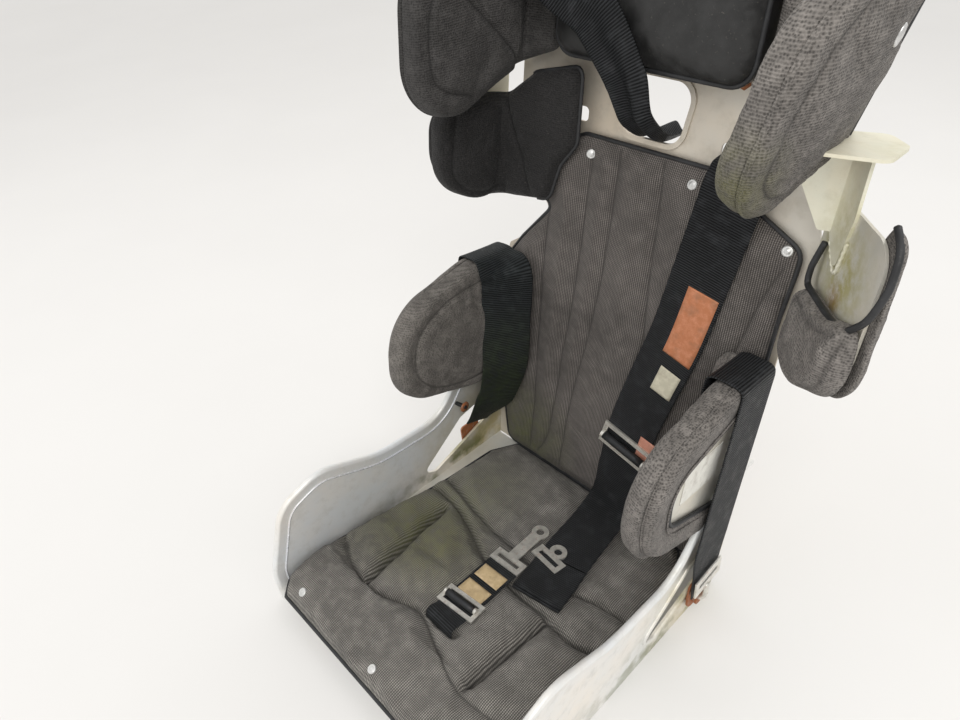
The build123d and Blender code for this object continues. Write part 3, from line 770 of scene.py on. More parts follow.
class Skin:
    """Vertices and faces with a UV for each corner, gathered into one mesh."""

    def __init__(self):
        self.verts, self.seam, self.hold = [], [], []
        self.faces, self.uvs = [], []

    def add(self, points, seam=0.0, hold=0.0):
        start = len(self.verts)
        self.verts.extend(np.asarray(points, float))
        self.seam.extend(np.broadcast_to(seam, len(points)))
        self.hold.extend(np.broadcast_to(hold, len(points)))
        return start

    def face(self, corners, uvs):
        self.faces.append(tuple(int(c) for c in corners))
        self.uvs.extend(tuple(uv) for uv in uvs)

    def surface(self, points, flat, faces, shift=0.0, seam=0.0, hold=1.0):
        """Points with the triangles that a flat outline was filled with."""
        start = self.add(points, seam, hold)
        for face in faces:
            self.face([start + i for i in face], [(flat[i][0] / 1000 + shift, flat[i][1] / 1000) for i in face])
        return start

    def top(self, border, place, height, seams, step):
        """A pad's puffed side. The height takes the points and their distances from the edge and the seams."""
        verts, faces = fill(border, step, seams)
        edge = distance_to(verts, border)
        edge[:len(border)] = 0.0
        gap = np.min([level(verts, 99.0)] + [distance_to(verts, line, False) for line in seams], axis=0)
        mark = sewn(gap, 1.0, SEAM_WIDTH)
        held = np.clip(mark * SEAM_HOLD, 0, 1)
        held[:len(border)] = 1.0
        heights = height(verts, edge, gap)
        return self.surface(place(verts, heights), verts, faces, 0.0, mark, held), verts, faces, heights

    def wall(self, low, high, arcs, v_low, v_high):
        """Quads between two closed rings given by their first vertices."""
        count = len(arcs) - 1
        for i in range(count):
            j = (i + 1) % count
            a, b = arcs[i] / 1000, arcs[i + 1] / 1000
            self.face((low + i, low + j, high + j, high + i), ((a, v_low), (b, v_low), (b, v_high), (a, v_high)))

    def sweep(self, rows, at, across, cap, turned=False):
        """A closed section of rows of points, with the UVs across it and along it, and a cap on each end."""
        for k, low in enumerate(rows):
            high, a, b = rows[(k + 1) % len(rows)], across[k], across[(k + 1) % len(across)]
            for i in range(len(at) - 1):
                uvs = [(a, at[i]), (a, at[i + 1]), (b, at[i + 1]), (b, at[i])]
                if turned:
                    uvs = [uv[::-1] for uv in uvs]
                self.face((low + i, low + i + 1, high + i + 1, high + i), uvs)
        for i in (0, len(at) - 1):
            self.face([row + i for row in rows], cap)

    def build(self, name, material):
        obj = make_object(name, self.verts, self.faces, material, self.uvs, self.seam)
        work = bmesh.new()
        work.from_mesh(obj.data)
        bmesh.ops.recalc_face_normals(work, faces=work.faces)
        work.to_mesh(obj.data)
        work.free()
        return obj


def add_pad(skin, border, place, front, back, rings=(), seams=(), step=7.0, back_step=20.0):
    """One closed pad. Its front is a height by points and their distances from the edge and the seams, and its
    back is a height or a function of the distance from the edge."""
    count = len(border)
    top, _, _, heights = skin.top(border, place, front, seams, step)
    verts, faces = fill(border, back_step, (), BACK_RINGS if back_step < 15 else ())
    edge = distance_to(verts, border)
    edge[:count] = 0.0
    back_heights = back(edge) if callable(back) else level(verts, back)
    before = skin.surface(place(verts, back_heights), verts, faces, BACK_UV_SHIFT)
    bounds = [(skin.add(place(border - inward_of(border) * bulge, level(border, height)), 0.0, 1.0), height)
              for bulge, height in rings]
    v, last_height = 0.0, float(np.mean(back_heights[:count]))
    for ring, height in bounds + [(top, float(np.mean(heights[:count])))]:
        rise = abs(height - last_height) / 1000
        skin.wall(before, ring, arc_lengths(border), v, v + rise)
        before, v, last_height = ring, v + rise, height


def add_band(skin, chain, inward, place, section):
    """A closed section of (inset, out) swept along an open chain; the middle of its face is free to puff."""
    rows = []
    for inset, out in section:
        held = 0.0 if 2 < inset < 36 and out > 9 else 1.0
        rows.append(skin.add(place(chain + inward * inset, level(chain, out)), 0.0, held))
    section = np.array(section, float)
    skin.sweep(rows, along(chain) / 1000, arc_lengths(section) / 1000, section / 1000, True)


def dome(distance, reach, low, high):
    """A rounded rise from low at the edge to high from a reach inward."""
    return low + (high - low) * quarter(distance / reach)


def finish_pad(skin, name, material, node, cap=0.005, stretch=0.02, pressure=4.0):
    obj = skin.build(name, material)
    puff(obj, skin.hold, pressure, cap, stretch)
    modifier = obj.modifiers.new("smooth", "SUBSURF")
    modifier.levels = modifier.render_levels = 1
    return finish_piece(obj, (node,))


# Cushion on the bottom: puffed lobes with deep grooves, a front apron and a plain part behind
CUSHION_SEAMS = {
    "front": [(-206, -342), (-167, -361), (-127, -371), (-82, -368), (-41, -351), (-15, -348), (16, -359),
              (58, -376), (86, -385), (129, -386), (206, -372)],
    "far": [(-141, -196), (-131, -270), (-116, -366)],
    "near": [(106, -234), (102, -299), (100, -380)],
    "rear": [(-190, -184), (-173, -179), (-131, -182), (-75, -200), (-17, -223), (40, -229), (93, -230),
             (148, -235), (187, -221), (204, -205)],
    "channel": [(-186, -150), (-85, -170), (-6, -177), (70, -184), (140, -165), (196, -160)],
}
CUSHION_SIDE = [(-163, -7), (-186, -50), (-196, -183), (-207, -293), (-211, -347), (-211, -400), (-208, -440),
                (-190, -458)]
# Where webbing presses on the cloth: the line, and half the width that is held down
CUSHION_BELTS = (([(12, -340), (8, -200), (4, -116)], 30.0), ([(52, -40), (60, -130), (78, -232)], 42.0))
COVER_BELT = [(118, 540), (96, 370), (58, 200), (50, 40)]
CUSHION_UNDER, CUSHION_LEAST = 21.6, 22.4


def cushion_base(y):
    lip = FRONT_APRON - SEAT_DEPTH
    return np.where(y > lip, CUSHION_REAR - CUSHION_SLOPE * (y + 6), CUSHION_FRONT - (lip - y) * 0.08)


def add_cushion():
    border = resample(np.array(CUSHION_SIDE + [(-x, y) for x, y in reversed(CUSHION_SIDE)]), 5.0, True)
    lines = {key: smooth_line(row, 4.5) for key, row in CUSHION_SEAMS.items()}

    def groove(points, key, depth, width):
        return sewn(distance_to(points, lines[key], False), depth, width)

    def front(points, edge, gap):
        x, y = points.T
        base = cushion_base(y)
        depth = np.clip((base - 24) / 22, 0.25, 1.0)
        swell = np.where(y < -372, 7.0, 19.0) * depth
        crown = swell * np.sqrt(1 - np.exp(-np.minimum(edge * 1.2, gap) / 15.0))
        sunk = groove(points, "far", 9.0, 6.0) + groove(points, "near", 9.0, 6.0)
        sunk = sunk + depth * groove(points, "rear", 5.0, 5.0)
        roll = 13.0 * (1 - quarter(edge / 15)) * np.clip((-y - 20) / 60, 0.1, 1)
        rough = ripple(np.column_stack([points / 1000, level(points, 0.0)]), 40, 4.0, 3) * depth
        slot = np.hypot(np.maximum(np.abs(x - 12) - 27, 0), np.maximum(np.abs(y + 338) - 2, 0))
        dip = 22.0 * (1 - within(slot, 7.0)) ** 2
        high = base - swell + crown - sunk - roll + rough + 3.5 - dip
        for line, half in CUSHION_BELTS:
            near = ease((half + 14 - distance_to(points, line, False)) / 14.0)
            high = np.where(high > base - 1.0, high * (1 - near) + (base - 1.0) * near, high)
        return np.maximum(high, CUSHION_LEAST)

    skin = Skin()
    add_pad(skin, border, on_bottom, front, CUSHION_UNDER, [(1.5, 25.0)], list(lines.values()), 7.5)
    flat = np.array(skin.verts)[:, :2] * 1000 - np.array(SHIFT[:2])
    for line, half in CUSHION_BELTS:
        skin.hold = list(np.maximum(skin.hold, (distance_to(flat, line, False) < half).astype(float)))
    obj = finish_pad(skin, "seat_cushion", cushion_cloth, "cushion", 0.0045)
    line = np.column_stack([border - inward_of(border), np.maximum(cushion_base(border[:, 1]) - 20.0, 25.0)])
    add_tube("cushion_piping", to_row(line), PIPING, piping_black, True)
    return obj


# Back cover: a wide cloth panel with sewn channels, snapped on at the top and notched on the right
BACK_SEAMS = [
    [(-135, 466), (-137, 429), (-138, 300), (-134, 153), (-136, 40)],
    [(-72, 562), (-73, 538), (-77, 383), (-88, 240), (-99, 94), (-120, 40)],
    [(-30, 572), (-31, 562), (-35, 399), (-48, 280), (-63, 170), (-70, 40)],
    [(30, 572), (32, 562), (40, 399), (50, 280), (60, 170), (66, 40)],
    [(196, 500), (182, 453), (161, 346), (128, 259), (120, 150), (122, 40)],
]
COVER_ROWS = [(188, 27, 18), (206, 120, 60), (206, 440, 40), (210, 500, 30), (210, 524, 18), (88, 582, 14),
              (-88, 582, 14), (-210, 524, 18), (-210, 490, 8), (-128, 478, 10), (-184, 412, 16), (-206, 380, 20),
              (-206, 120, 60), (-188, 27, 18)]


def on_back_rows(points):
    return to_row(points[:, :1] * ACROSS + points[:, 1:2] * UPWARD)


def add_back_cover():
    border = outline(COVER_ROWS, 5.0)

    def front(points, edge, gap):
        crown = 8.5 * (1 - np.exp(-gap / 17.0)) * within(edge, 24)
        rough = ripple(on_back_rows(points), 60, 2.2, 5) * within(edge, 20)
        near = ease((52 - distance_to(points, COVER_BELT, False)) / 12.0)
        return np.minimum(dome(edge, 13.0, 4.0, 8.5) + crown + rough, COVER_THICK - 0.5 - 2.0 * near)

    skin = Skin()
    add_pad(skin, border, on_cover, front, 0.5, [], [smooth_line(row, 4.5) for row in BACK_SEAMS], 7.5)
    obj = finish_pad(skin, "back_cover_cloth", back_cloth, "back_cover", 0.0022, 0.01)
    add_tube("back_cover_piping", on_cover(border, level(border, 5.0)), THIN_PIPING, piping_black, True)
    return obj


# Headrest: smooth vinyl over thick foam
def add_headrest():
    half = [(HEAD_HALF - 80, 676, 24), (HEAD_HALF - 80, 842, 30)]
    border = outline(half + [(-u, v, r) for u, v, r in reversed(half)], 5.0)

    def front(points, edge, gap):
        rough = ripple(on_back_rows(points), 70, 1.2, 8)
        return dome(edge, 22.0, 32.0, 43.5) + 2.0 * within(edge, 60) + rough

    skin = Skin()
    add_pad(skin, border, on_cover, front, 0.5, [(1.0, 8.0), (1.6, 20.0), (0.6, 29.0)], (), 8.0)
    finish_pad(skin, "headrest_vinyl_pad", headrest_vinyl, "headrest_pad", 0.004, 0.01)
    ring = on_cover(border - inward_of(border) * 0.8, level(border, 31.5))
    add_tube("headrest_piping", ring, PIPING, piping_black, True)


# Plan of a padded sheet: a straight wing, a rounded corner and a stretch along the back
class Bend:
    """Places (a, s) with a measured from the wing's tip round the corner and along the back."""

    def __init__(self, side, root, flare, tip, back_off, inner_x, radius, lean=0.0):
        turn = math.radians(flare)
        end = (root + tip * math.sin(turn), tip * math.cos(turn))
        corner = (root + back_off * math.tan(turn), back_off)
        line = outline([(*end, 0), (*corner, radius), (inner_x, back_off, 0)], 2.0, False)
        tangent = np.gradient(line, axis=0)
        for _ in range(6):
            tangent[1:-1] = (tangent[:-2] + tangent[1:-1] + tangent[2:]) / 3
        self.side, self.lean, self.line, self.at = side, math.radians(lean), line, along(line)
        self.normal = -left_of(unit(tangent))
        self.length = float(self.at[-1])
        self.corner = float(self.at[np.argmin(np.linalg.norm(line - np.array(corner), axis=1))])
        self.share = np.clip((line[:, 0] - inner_x) / (corner[0] - inner_x), 0, 1)

    def place(self, flat, height):
        flat, height = np.asarray(flat, float), np.asarray(height, float)
        pick = lambda values: np.interp(flat[:, 0], self.at, values)
        push_x, push_off = pick(self.normal[:, 0]) * height, pick(self.normal[:, 1]) * height
        lean = self.lean * pick(self.share)
        rise = flat[:, 1] - NECK_CORNER
        x = pick(self.line[:, 0]) + rise * np.sin(lean) + push_x * np.cos(lean)
        s = NECK_CORNER + rise * np.cos(lean) - push_x * np.sin(lean)
        return on_cover(np.column_stack([self.side * x, s]), pick(self.line[:, 1]) + push_off)

    def thick(self, a, wing, back, spread=26.0):
        """A thickness that eases from the wing's to the back's round the corner."""
        share = ease((a - self.corner + spread) / (2 * spread))
        return wing * (1 - share) + back * share


def bent_pad(skin, bend, rows, back, seams, wave, seed, low=0.5, bulge=0.0, wing=PAD_INNER, rim=0.35, step=7.0):
    """A puffed pad on a bent sheet, with sewn seams given as (a, s) lines."""
    border = outline(rows, 4.8)

    def front(points, edge, gap):
        a = points[:, 0]
        full = bend.thick(a, wing, back) + sewn(a - bend.corner + 6, bulge, 30.0)
        share = within(edge, np.minimum(full * 0.85, 26.0))
        puffed = full * (rim + (1 - rim) * quarter(share))
        rough = ripple(bend.place(points, puffed), 50, wave, seed) * share
        return puffed - sewn(gap, 3.6, 4.5) + rough

    top, verts, faces, _ = skin.top(border, bend.place, front, [smooth_line(row, 4.8) for row in seams], step)
    under = skin.surface(bend.place(verts, level(verts, low)), verts, faces, BACK_UV_SHIFT)
    full = bend.thick(border[:, 0], wing, back) * rim
    ring = skin.add(bend.place(border - inward_of(border) * 1.2, low + (full - low) * 0.5), 0.0, 1.0)
    skin.wall(under, ring, arc_lengths(border), 0.0, 0.006)
    skin.wall(ring, top, arc_lengths(border), 0.006, 0.012)
    return border, full


# Sleeves over the wings, and the section of their rolled borders as (inset, out)
RIB_ROWS = [(0, RIB_LOW, 0), (0, RIB_HIGH, 0), (96, RIB_HIGH, 80), (RIB_REACH, RIB_HIGH - 44, 68),
            (RIB_REACH - 14, RIB_LOW + 22, 58), (90, RIB_LOW - 14, 70)]
HEAD_ROWS = [(0, HEAD_LOW + 52, 0), (0, HEAD_HIGH, 0), (96, HEAD_HIGH, 50), (HEAD_REACH, HEAD_LOW + 132, 70),
             (HEAD_REACH, HEAD_LOW + 12, 52), (HEAD_REACH - 62, HEAD_LOW, 50)]
SHOULDER_ROWS = [(0, RIGHT_LOW, 0), (0, SHOULDER_HIGH, 0), (RIGHT_REACH, SHOULDER_HIGH, 30),
                 (RIGHT_REACH, RIGHT_LOW + 30, 50), (60, RIGHT_LOW, 40)]
BAND = [(0.3, -1.0), (-1.0, 2.5), (0.4, 6.0), (4.0, 9.6), (10.0, OUT_TOP), (24.0, OUT_TOP), (35.5, OUT_TOP - 0.6),
        (39.5, 8.0), (40.0, 5.0), (38.5, SHEET + 0.5), (14.3, SHEET + 0.5), (13.6, 0.0), (6.0, -0.5)]


def wing_chain(rows, cut):
    """The free edge of a wing's sleeve, and the directions inward from it."""
    chain = clip_chain(outline(grown(rows, PAD_RIM), 4.5), cut)
    return chain, inward_of(close_chain(chain))[:len(chain)]


def add_welt(name, place, line, heights, radius, material=piping_black):
    add_tube(name, place(line, np.broadcast_to(heights, len(line))), radius, material)


def add_rib_pad(side, name, cloth):
    tip = RIB_REACH + PAD_RIM
    bend = Bend(side, HIP_HALF - SHEET, 0.0, tip, 16.0, 150.0, 62.0)
    root, end = bend.corner, bend.length
    rows = [(0, 348, 82), (0, 213, 72), (tip - 90, 177, 84), (root + 4, 190, 20), (end - 14, 214, 20),
            (end - 4, 300, 60), (end - 10, 386, 20), (root - 14, 392, 40), (tip - 96, 392, 90)]
    seam = [(tip - 36, 367), (tip - 92, 366), (tip - 160, 352), (tip - 206, 318), (tip - 212, 262),
            (tip - 180, 222), (tip - 120, 203), (tip - 50, 206)]
    skin = Skin()
    bent_pad(skin, bend, rows, 20.0, [seam], 2.2, 11 + side, bulge=11.0)
    place = wing_place(side, HIP_HALF - SHEET, 0.0)
    chain, inward = wing_chain(RIB_ROWS, 21.0)
    keep = (chain[:, 0] > 80) | (chain[:, 1] > 252)
    line, inward = chain[keep], inward[keep]
    add_band(skin, line, inward, place, BAND)
    finish_pad(skin, name, cloth, name.replace("sleeve", "pad"), 0.004, 0.01)
    add_welt(f"{name}_welt", place, line + inward * 41.5, 7.2, WELT)
    add_welt(f"{name}_seam", place, line + inward * 33.0, OUT_TOP + 0.1, 0.0013, cloth)
    add_welt(f"{name}_rim", place, line, 0.3, THIN_WELT, cloth)


# Head pads: a puffed panel on each face of the wing, the inner one reaching round to the headrest
def add_head_pad(side, name, cloth):
    lean = LEFT_LEAN if side > 0 else 0.0
    tip = HEAD_REACH + PAD_RIM
    bend = Bend(side, HEAD_HALF - SHEET, 0.0, tip, 16.0, 130.0, 34.0, lean)
    root, end = bend.corner, bend.length
    rows = [(0, 752, 84), (0, 622, 60), (64, 600, 60), (root - 10, 650, 30), (end - 2, 676, 12),
            (end - 2, 842, 16), (root - 30, 864, 20), (tip - 100, 864, 60)]
    fold = [(tip - 146, 752), (tip - 128, 731), (tip - 78, 691), (tip - 44, 662)]
    rim_seam = [(tip - 128, 630), (tip - 166, 640), (tip - 184, 662), (tip - 184, 730), (tip - 150, 790),
                (tip - 104, 838)]
    skin = Skin()
    bent_pad(skin, bend, rows, 16.0, [fold, rim_seam], 2.0, 21, 0.0)
    place = wing_place(side, HEAD_HALF - SHEET, 0.0, lean)
    chain, inward = wing_chain(HEAD_ROWS, 21.0)
    border = close_chain(chain)

    def outer(points, edge, gap):
        if side < 0:
            return dome(edge, 24.0, 3.0, OUT_TOP - 4.5)
        puffed = dome(edge, 24.0, 4.0, OUT_TOP + 1.5) + 5.0 * within(edge, 70)
        rough = ripple(place(points, puffed), 46, 2.4, 23) * within(edge, 20)
        return puffed - sewn(gap, 2.8, 4.0) + rough

    add_pad(skin, border, place, outer, -0.6, [(1.6, 1.6)],
            [resample(chain[4:-4] + inward[4:-4] * 22.0, 4.5)], 7.0, 12.0)
    obj = finish_pad(skin, name, cloth, name.replace("sleeve", "pad"))
    add_welt(f"{name}_welt", place, chain, 3.8, 0.0016, cloth)
    add_welt(f"{name}_bound_edge", place, np.vstack([chain[-1:], border[len(chain):], chain[:1]]), 7.0, 0.004)
    return obj


def add_shoulder_pad_right():
    inner_x = 86.0
    bend = Bend(-1, SHOULDER_HALF, RIGHT_FLARE, RIGHT_REACH + PAD_RIM, 20.0, inner_x, 40.0)
    at = lambda x: bend.length - (x - inner_x)
    rows = [(0, 610, 40), (0, 498, 56), (60, 471, 44), (at(190), 478, 20), (at(124), 490, 16), (at(110), 540, 20),
            (at(86), 572, 16), (at(88), 664, 10), (at(160), 646, 20), (at(206), 612, 20)]
    fold = [(at(203), 612), (at(178), 556), (at(151), 496)]
    rim_seam = [(24, 592), (20, 560), (22, 512), (60, 486), (at(200), 492)]
    skin = Skin()
    border, full = bent_pad(skin, bend, rows, 17.0, [fold, rim_seam], 1.8, 31)
    chain, inward = wing_chain(SHOULDER_ROWS, 14.0)
    keep = (chain[:, 1] < 500) | (chain[:, 0] > RIGHT_REACH + 6)
    place = wing_place(-1, SHOULDER_HALF, RIGHT_FLARE)
    add_band(skin, chain[keep], inward[keep], place, [(inset * 0.72, out) for inset, out in BAND])
    finish_pad(skin, "shoulder_sleeve_right", deep_shade_cloth, "shoulder_pad_right")
    start = int(np.argmin(np.where(border[:, 0] > at(170), 0, 1000) + border[:, 1]))
    border, full = np.roll(border, -start, axis=0), np.roll(full, -start)
    flap = (border[:, 0] > at(165)) & (border[:, 1] > 486)
    add_welt("shoulder_flap_piping", bend.place, border[flap], full[flap] * 0.8, THIN_PIPING)


# The left shoulder sleeve is a pocket, open at the top where the brace comes down into it
def add_shoulder_pad_left():
    tip, low = LEFT_REACH + PAD_RIM, LEFT_LOW - 18
    place = wing_place(1, SHOULDER_HALF, LEFT_FLARE)
    foot = [(tip + 2, low + 44, 60), (70, low, 50)]
    border = outline([(24, LEFT_LOW, 20), (22, 500, 10), (96, 503, 60), (tip - 8, 524, 16), *foot], 4.5)
    shell = outline([(24, LEFT_LOW, 20), (22, 540, 10), (70, 556, 50), (112, 584, 40), (128, 612, 14),
                     (tip - 4, 606, 22), *foot], 4.5)
    seams = [[(36, 492), (40, 470), (56, 438), (96, 428), (136, 448), (148, 480), (150, 508)],
             [(34, 492), (96, 493), (140, 509)]]

    def inner(points, edge, gap):
        puffed = dome(edge, 24.0, -9.0, -PAD_INNER + 1.5)
        rough = ripple(place(points, puffed), 48, 1.8, 41) * within(edge, 24)
        return puffed + sewn(gap, 3.5, 4.5) - rough

    def panel(points, edge, gap):
        rough = ripple(place(points, edge), 40, 1.2, 43) * within(edge, 20)
        return dome(edge, 14.0, SHEET + 3.0, OUT_TOP + 0.5) + rough

    skin = Skin()
    add_pad(skin, border, place, inner, lambda edge: -0.5 - 1.0 * (1 - within(edge, 13)),
            [(0.8, -4.0)], [smooth_line(row, 4.8) for row in seams], 6.5)
    add_pad(skin, shell, place, panel, SHEET + 0.6, [(0.6, SHEET + 1.6)], (), 8.0)
    finish_pad(skin, "shoulder_sleeve_left", mesh_cloth, "shoulder_pad_left")
    mouth = smooth_line([(22, 548), (20, 522), (22, 503), (40, 501), (96, 503), (132, 511), (149, 524),
                         (tip - 2, 540), (tip - 1, 570), (tip - 8, 598), (132, 611)])
    rise = np.interp(np.linspace(0, 1, len(mouth)), [0, 0.1, 0.62, 0.8, 1.0], [-4, -9.0, -9.0, 2.0, 4.0])
    add_welt("shoulder_mouth_piping", place, mouth, rise, 0.0034)
    rear = smooth_line([(22, 540), (70, 556), (112, 582), (128, 610)])
    add_welt("shoulder_mouth_piping_back", place, rear, SHEET + 4.0, THIN_PIPING)


cushion_cover = add_cushion()
back_panel = add_back_cover()
add_headrest()
add_rib_pad(1, "rib_sleeve_left", mesh_cloth)
add_rib_pad(-1, "rib_sleeve_right", rib_cloth)
head_sleeve = add_head_pad(1, "head_sleeve_left", mesh_cloth)
add_head_pad(-1, "head_sleeve_right", far_shade_cloth)
add_shoulder_pad_right()
add_shoulder_pad_left()


# Harness webbing
class Ribbon:
    """Flat webbing through stations of (drawing point, outward direction, width)."""

    def __init__(self, stations, step=3.0, parts=14, pull=0.8):
        points, outs, widths = (np.array(values, float) for values in zip(*stations))
        values = np.column_stack([unit(outs), widths])
        path, blend = [], []
        t = np.linspace(0, 1, parts, endpoint=False)[:, None]
        k = ease(t)
        for i in range(len(points) - 1):
            a, b, c, d = points[[max(i - 1, 0), i, i + 1, min(i + 2, len(points) - 1)]]
            span = np.linalg.norm(c - b)
            leave = (c - a) / max(np.linalg.norm(c - a), 1e-6) * span * pull
            reach = (d - b) / max(np.linalg.norm(d - b), 1e-6) * span * pull
            path.append(b * (2 * t ** 3 - 3 * t ** 2 + 1) + leave * (t ** 3 - 2 * t ** 2 + t)
                        + c * (-2 * t ** 3 + 3 * t ** 2) + reach * (t ** 3 - t ** 2))
            blend.append(values[i] * (1 - k) + values[i + 1] * k)
        path, blend = np.vstack(path + [points[-1]]), np.vstack(blend + [values[-1]])
        lengths = along(path)
        self.length = lengths[-1]
        self.at = np.linspace(0, self.length, max(4, int(self.length / step)) + 1)
        pick = lambda rows: np.stack([np.interp(self.at, lengths, column) for column in rows.T], 1)
        self.path, blend = pick(path), pick(blend)
        self.width = blend[:, 3]
        ahead = unit(np.gradient(self.path, axis=0))
        self.across = unit(np.cross(ahead, blend[:, :3]))
        self.out = unit(np.cross(self.across, ahead))

    def rows(self, share, lift, pleat=0.0):
        """Row-frame points along the ribbon at a share across it and a lift off its underside."""
        wave = pleat * np.sin(share * 9.0) * np.clip((BELT - self.width) / 35, 0, 1)
        return to_row(self.path + self.across * (self.width * share)[:, None] + self.out * (lift + wave)[:, None])


# Shares across and lifts of the webbing's section: with rounded selvedges, and plain with room for pleats
UPPER = [(0.5, 0.5), (0.492, 0.92), (0.47, 1.0), (0.3, 0.96), (0.1, 0.95)]
UNDER = [(0.492, WEBBING * 0.08), (0.47, 0.0), (0.3, 0.05), (0.1, 0.05)]
SECTION = ([(-x, WEBBING * z) for x, z in UPPER] + [(x, WEBBING * z) for x, z in reversed(UPPER)]
           + UNDER + [(-x, z) for x, z in reversed(UNDER)])
PLEATED = [(x, WEBBING) for x in np.linspace(-0.5, 0.5, 21)] + [(x, 0.0) for x in np.linspace(-0.5, 0.5, 21)[::-1]]


def add_belt(name, ribbon, material, node, curl=0.0, pleat=0.0, span=None, extra=0.0):
    section = PLEATED if pleat else SECTION
    first, last = np.searchsorted(ribbon.at, span) if span else (0, len(ribbon.at))
    skin = Skin()
    rows = [skin.add(ribbon.rows(share, lift + curl * (4 * share * share - 0.33) + extra, pleat)[first:last])
            for share, lift in section]
    skin.sweep(rows, ribbon.at[first:last] / 1000, [share * BELT / 1000 for share, _ in section],
               [(share * 0.07, lift / 1000) for share, lift in section])
    finish_piece(skin.build(name, material), (node,) if node else ())


def add_patch(name, ribbon, span, sides, material, thick=0.5, lift=WEBBING + CLEAR):
    """A flat piece laid on a belt between two lengths and two shares of its width."""
    first, last = np.searchsorted(ribbon.at, span)
    shares = np.linspace(*sides, 7)
    skin = Skin()
    low, top = ([skin.add(ribbon.rows(share, height)[first:last]) for share in shares]
                for height in (lift, lift + thick))
    widths = [share * BELT / 1000 for share in (*shares, *shares[::-1])]
    skin.sweep(top + low[::-1], ribbon.at[first:last] / 1000, widths, [(width, 0.0) for width in widths])
    finish_piece(skin.build(name, material))


def on_cushion(x, y, lift):
    return np.array([x, y, CUSHION_REAR - CUSHION_SLOPE * (y + 6) + lift])


def drawn(x, y, z):
    return np.array([x, y, z], float)


def stations(place, *rows):
    """Stations from rows of a place's three values, an outward direction and, where it is narrower, a width."""
    return [(place(*row[:3]), row[3], row[4] if len(row) > 4 else BELT) for row in rows]


def left_shoulder_belt():
    f, u = FORWARD, UPWARD
    return Ribbon(stations(
        on_back, (132, 598, -44, u), (132, 598, 4, u), (130, 588, 20.9, u + f), (126, 564, 19.9, f),
        (111, 467, 18.6, f), (96, 370, 18.9, f), (76, 285, 18.9, f), (58, 200, 18.9, f), (50, 110, 19.5, f),
        (50, 62, 26.0, f * 2 + UP)
    ) + stations(on_cushion, (52, -58, 10, UP + f), (60, -130, 2.5, UP), (70, -180, 1.6, UP), (78, -226, 2.5, UP)))


def right_shoulder_belt():
    f, u, x = FORWARD, UPWARD, ACROSS
    return Ribbon(stations(
        on_back, (12, 604, -44, -u, 40), (12, 604, 8, -u, 40), (8, 628, 46, f - u, 42), (-6, 668, 55, f, 48),
        (-50, 726, 62, f - x * 0.2, 66), (-94, 762, 68, f + x * 0.3), (-132, 790, 73, f * 0.8 + x * 0.6),
        (-163.5, 818, 66, f * 0.2 + x), (-171.5, 848.3, 62, x), (-171.5, 862, 62, x * 0.8 + u * 0.4),
        (-178, 866.6, 62, x * 0.2 + u), (-208, 866.6, 62, u - x * 0.2), (-215.5, 860, 62, u * 0.4 - x * 0.8),
        (-216, 714.3, 62, -x)))


LAP_OFF = COVER_THICK + BELT / 2 + 4
RIB_IN, RIB_OUT, RIB_TOP = 181.2, 223.6, RIB_HIGH + PAD_RIM + 2 * CLEAR


def lap_belt(side):
    x, u, f = ACROSS * side, UPWARD, FORWARD
    over = [(side * (RIB_IN + 1.5), RIB_TOP - 2, LAP_OFF, -x + u * 0.7),
            (side * (RIB_IN + 9), RIB_TOP + 1.2, LAP_OFF, u),
            (side * (RIB_OUT - 9), RIB_TOP + 1.2, LAP_OFF, u),
            (side * (RIB_OUT - 1.5), RIB_TOP - 2, LAP_OFF, u * 0.7 + x)]
    outer = (side * RIB_OUT, RIB_TOP - 14, LAP_OFF, x)
    if side > 0:
        low = stations(drawn, (229, -62, 62, x, 46), (230.5, -63, 110, x, 62), (231, -64, 170, x))
        return Ribbon(low + stations(on_back, outer, *reversed(over), (RIB_IN, RIB_TOP - 14, LAP_OFF, -x),
                                     (RIB_IN, 290, LAP_OFF, -x), (RIB_IN, 190, LAP_OFF, -x)))
    slant, low_slant = -x * 0.81 + f * 0.57, -x * 0.9 + f * 0.42
    return Ribbon(stations(drawn, (-206, -60, 96, -x, 50)) + stations(
        on_back, (-176, 150, 56, low_slant, 66), (-161, 215, 55, low_slant), (-161, 300, 59, slant),
        (-163, 372, 60, slant + u * 0.3), *over[1:], outer, (-RIB_OUT, 250, LAP_OFF, x)))


def crotch_belt():
    ahead, wide = np.array([0.0, 1.0, 0.0]), CROTCH_BELT
    return Ribbon(stations(drawn, (12, -342.3, 4, -ahead, wide), (12, -342.3, 52, -ahead, wide)) + stations(
        on_cushion, (12, -338.3, 4, UP - ahead, wide), (12, -322.3, 2.0, UP, wide), (10, -265, 0.6, UP, wide),
        (8, -212.3, 1.2, UP, wide)))


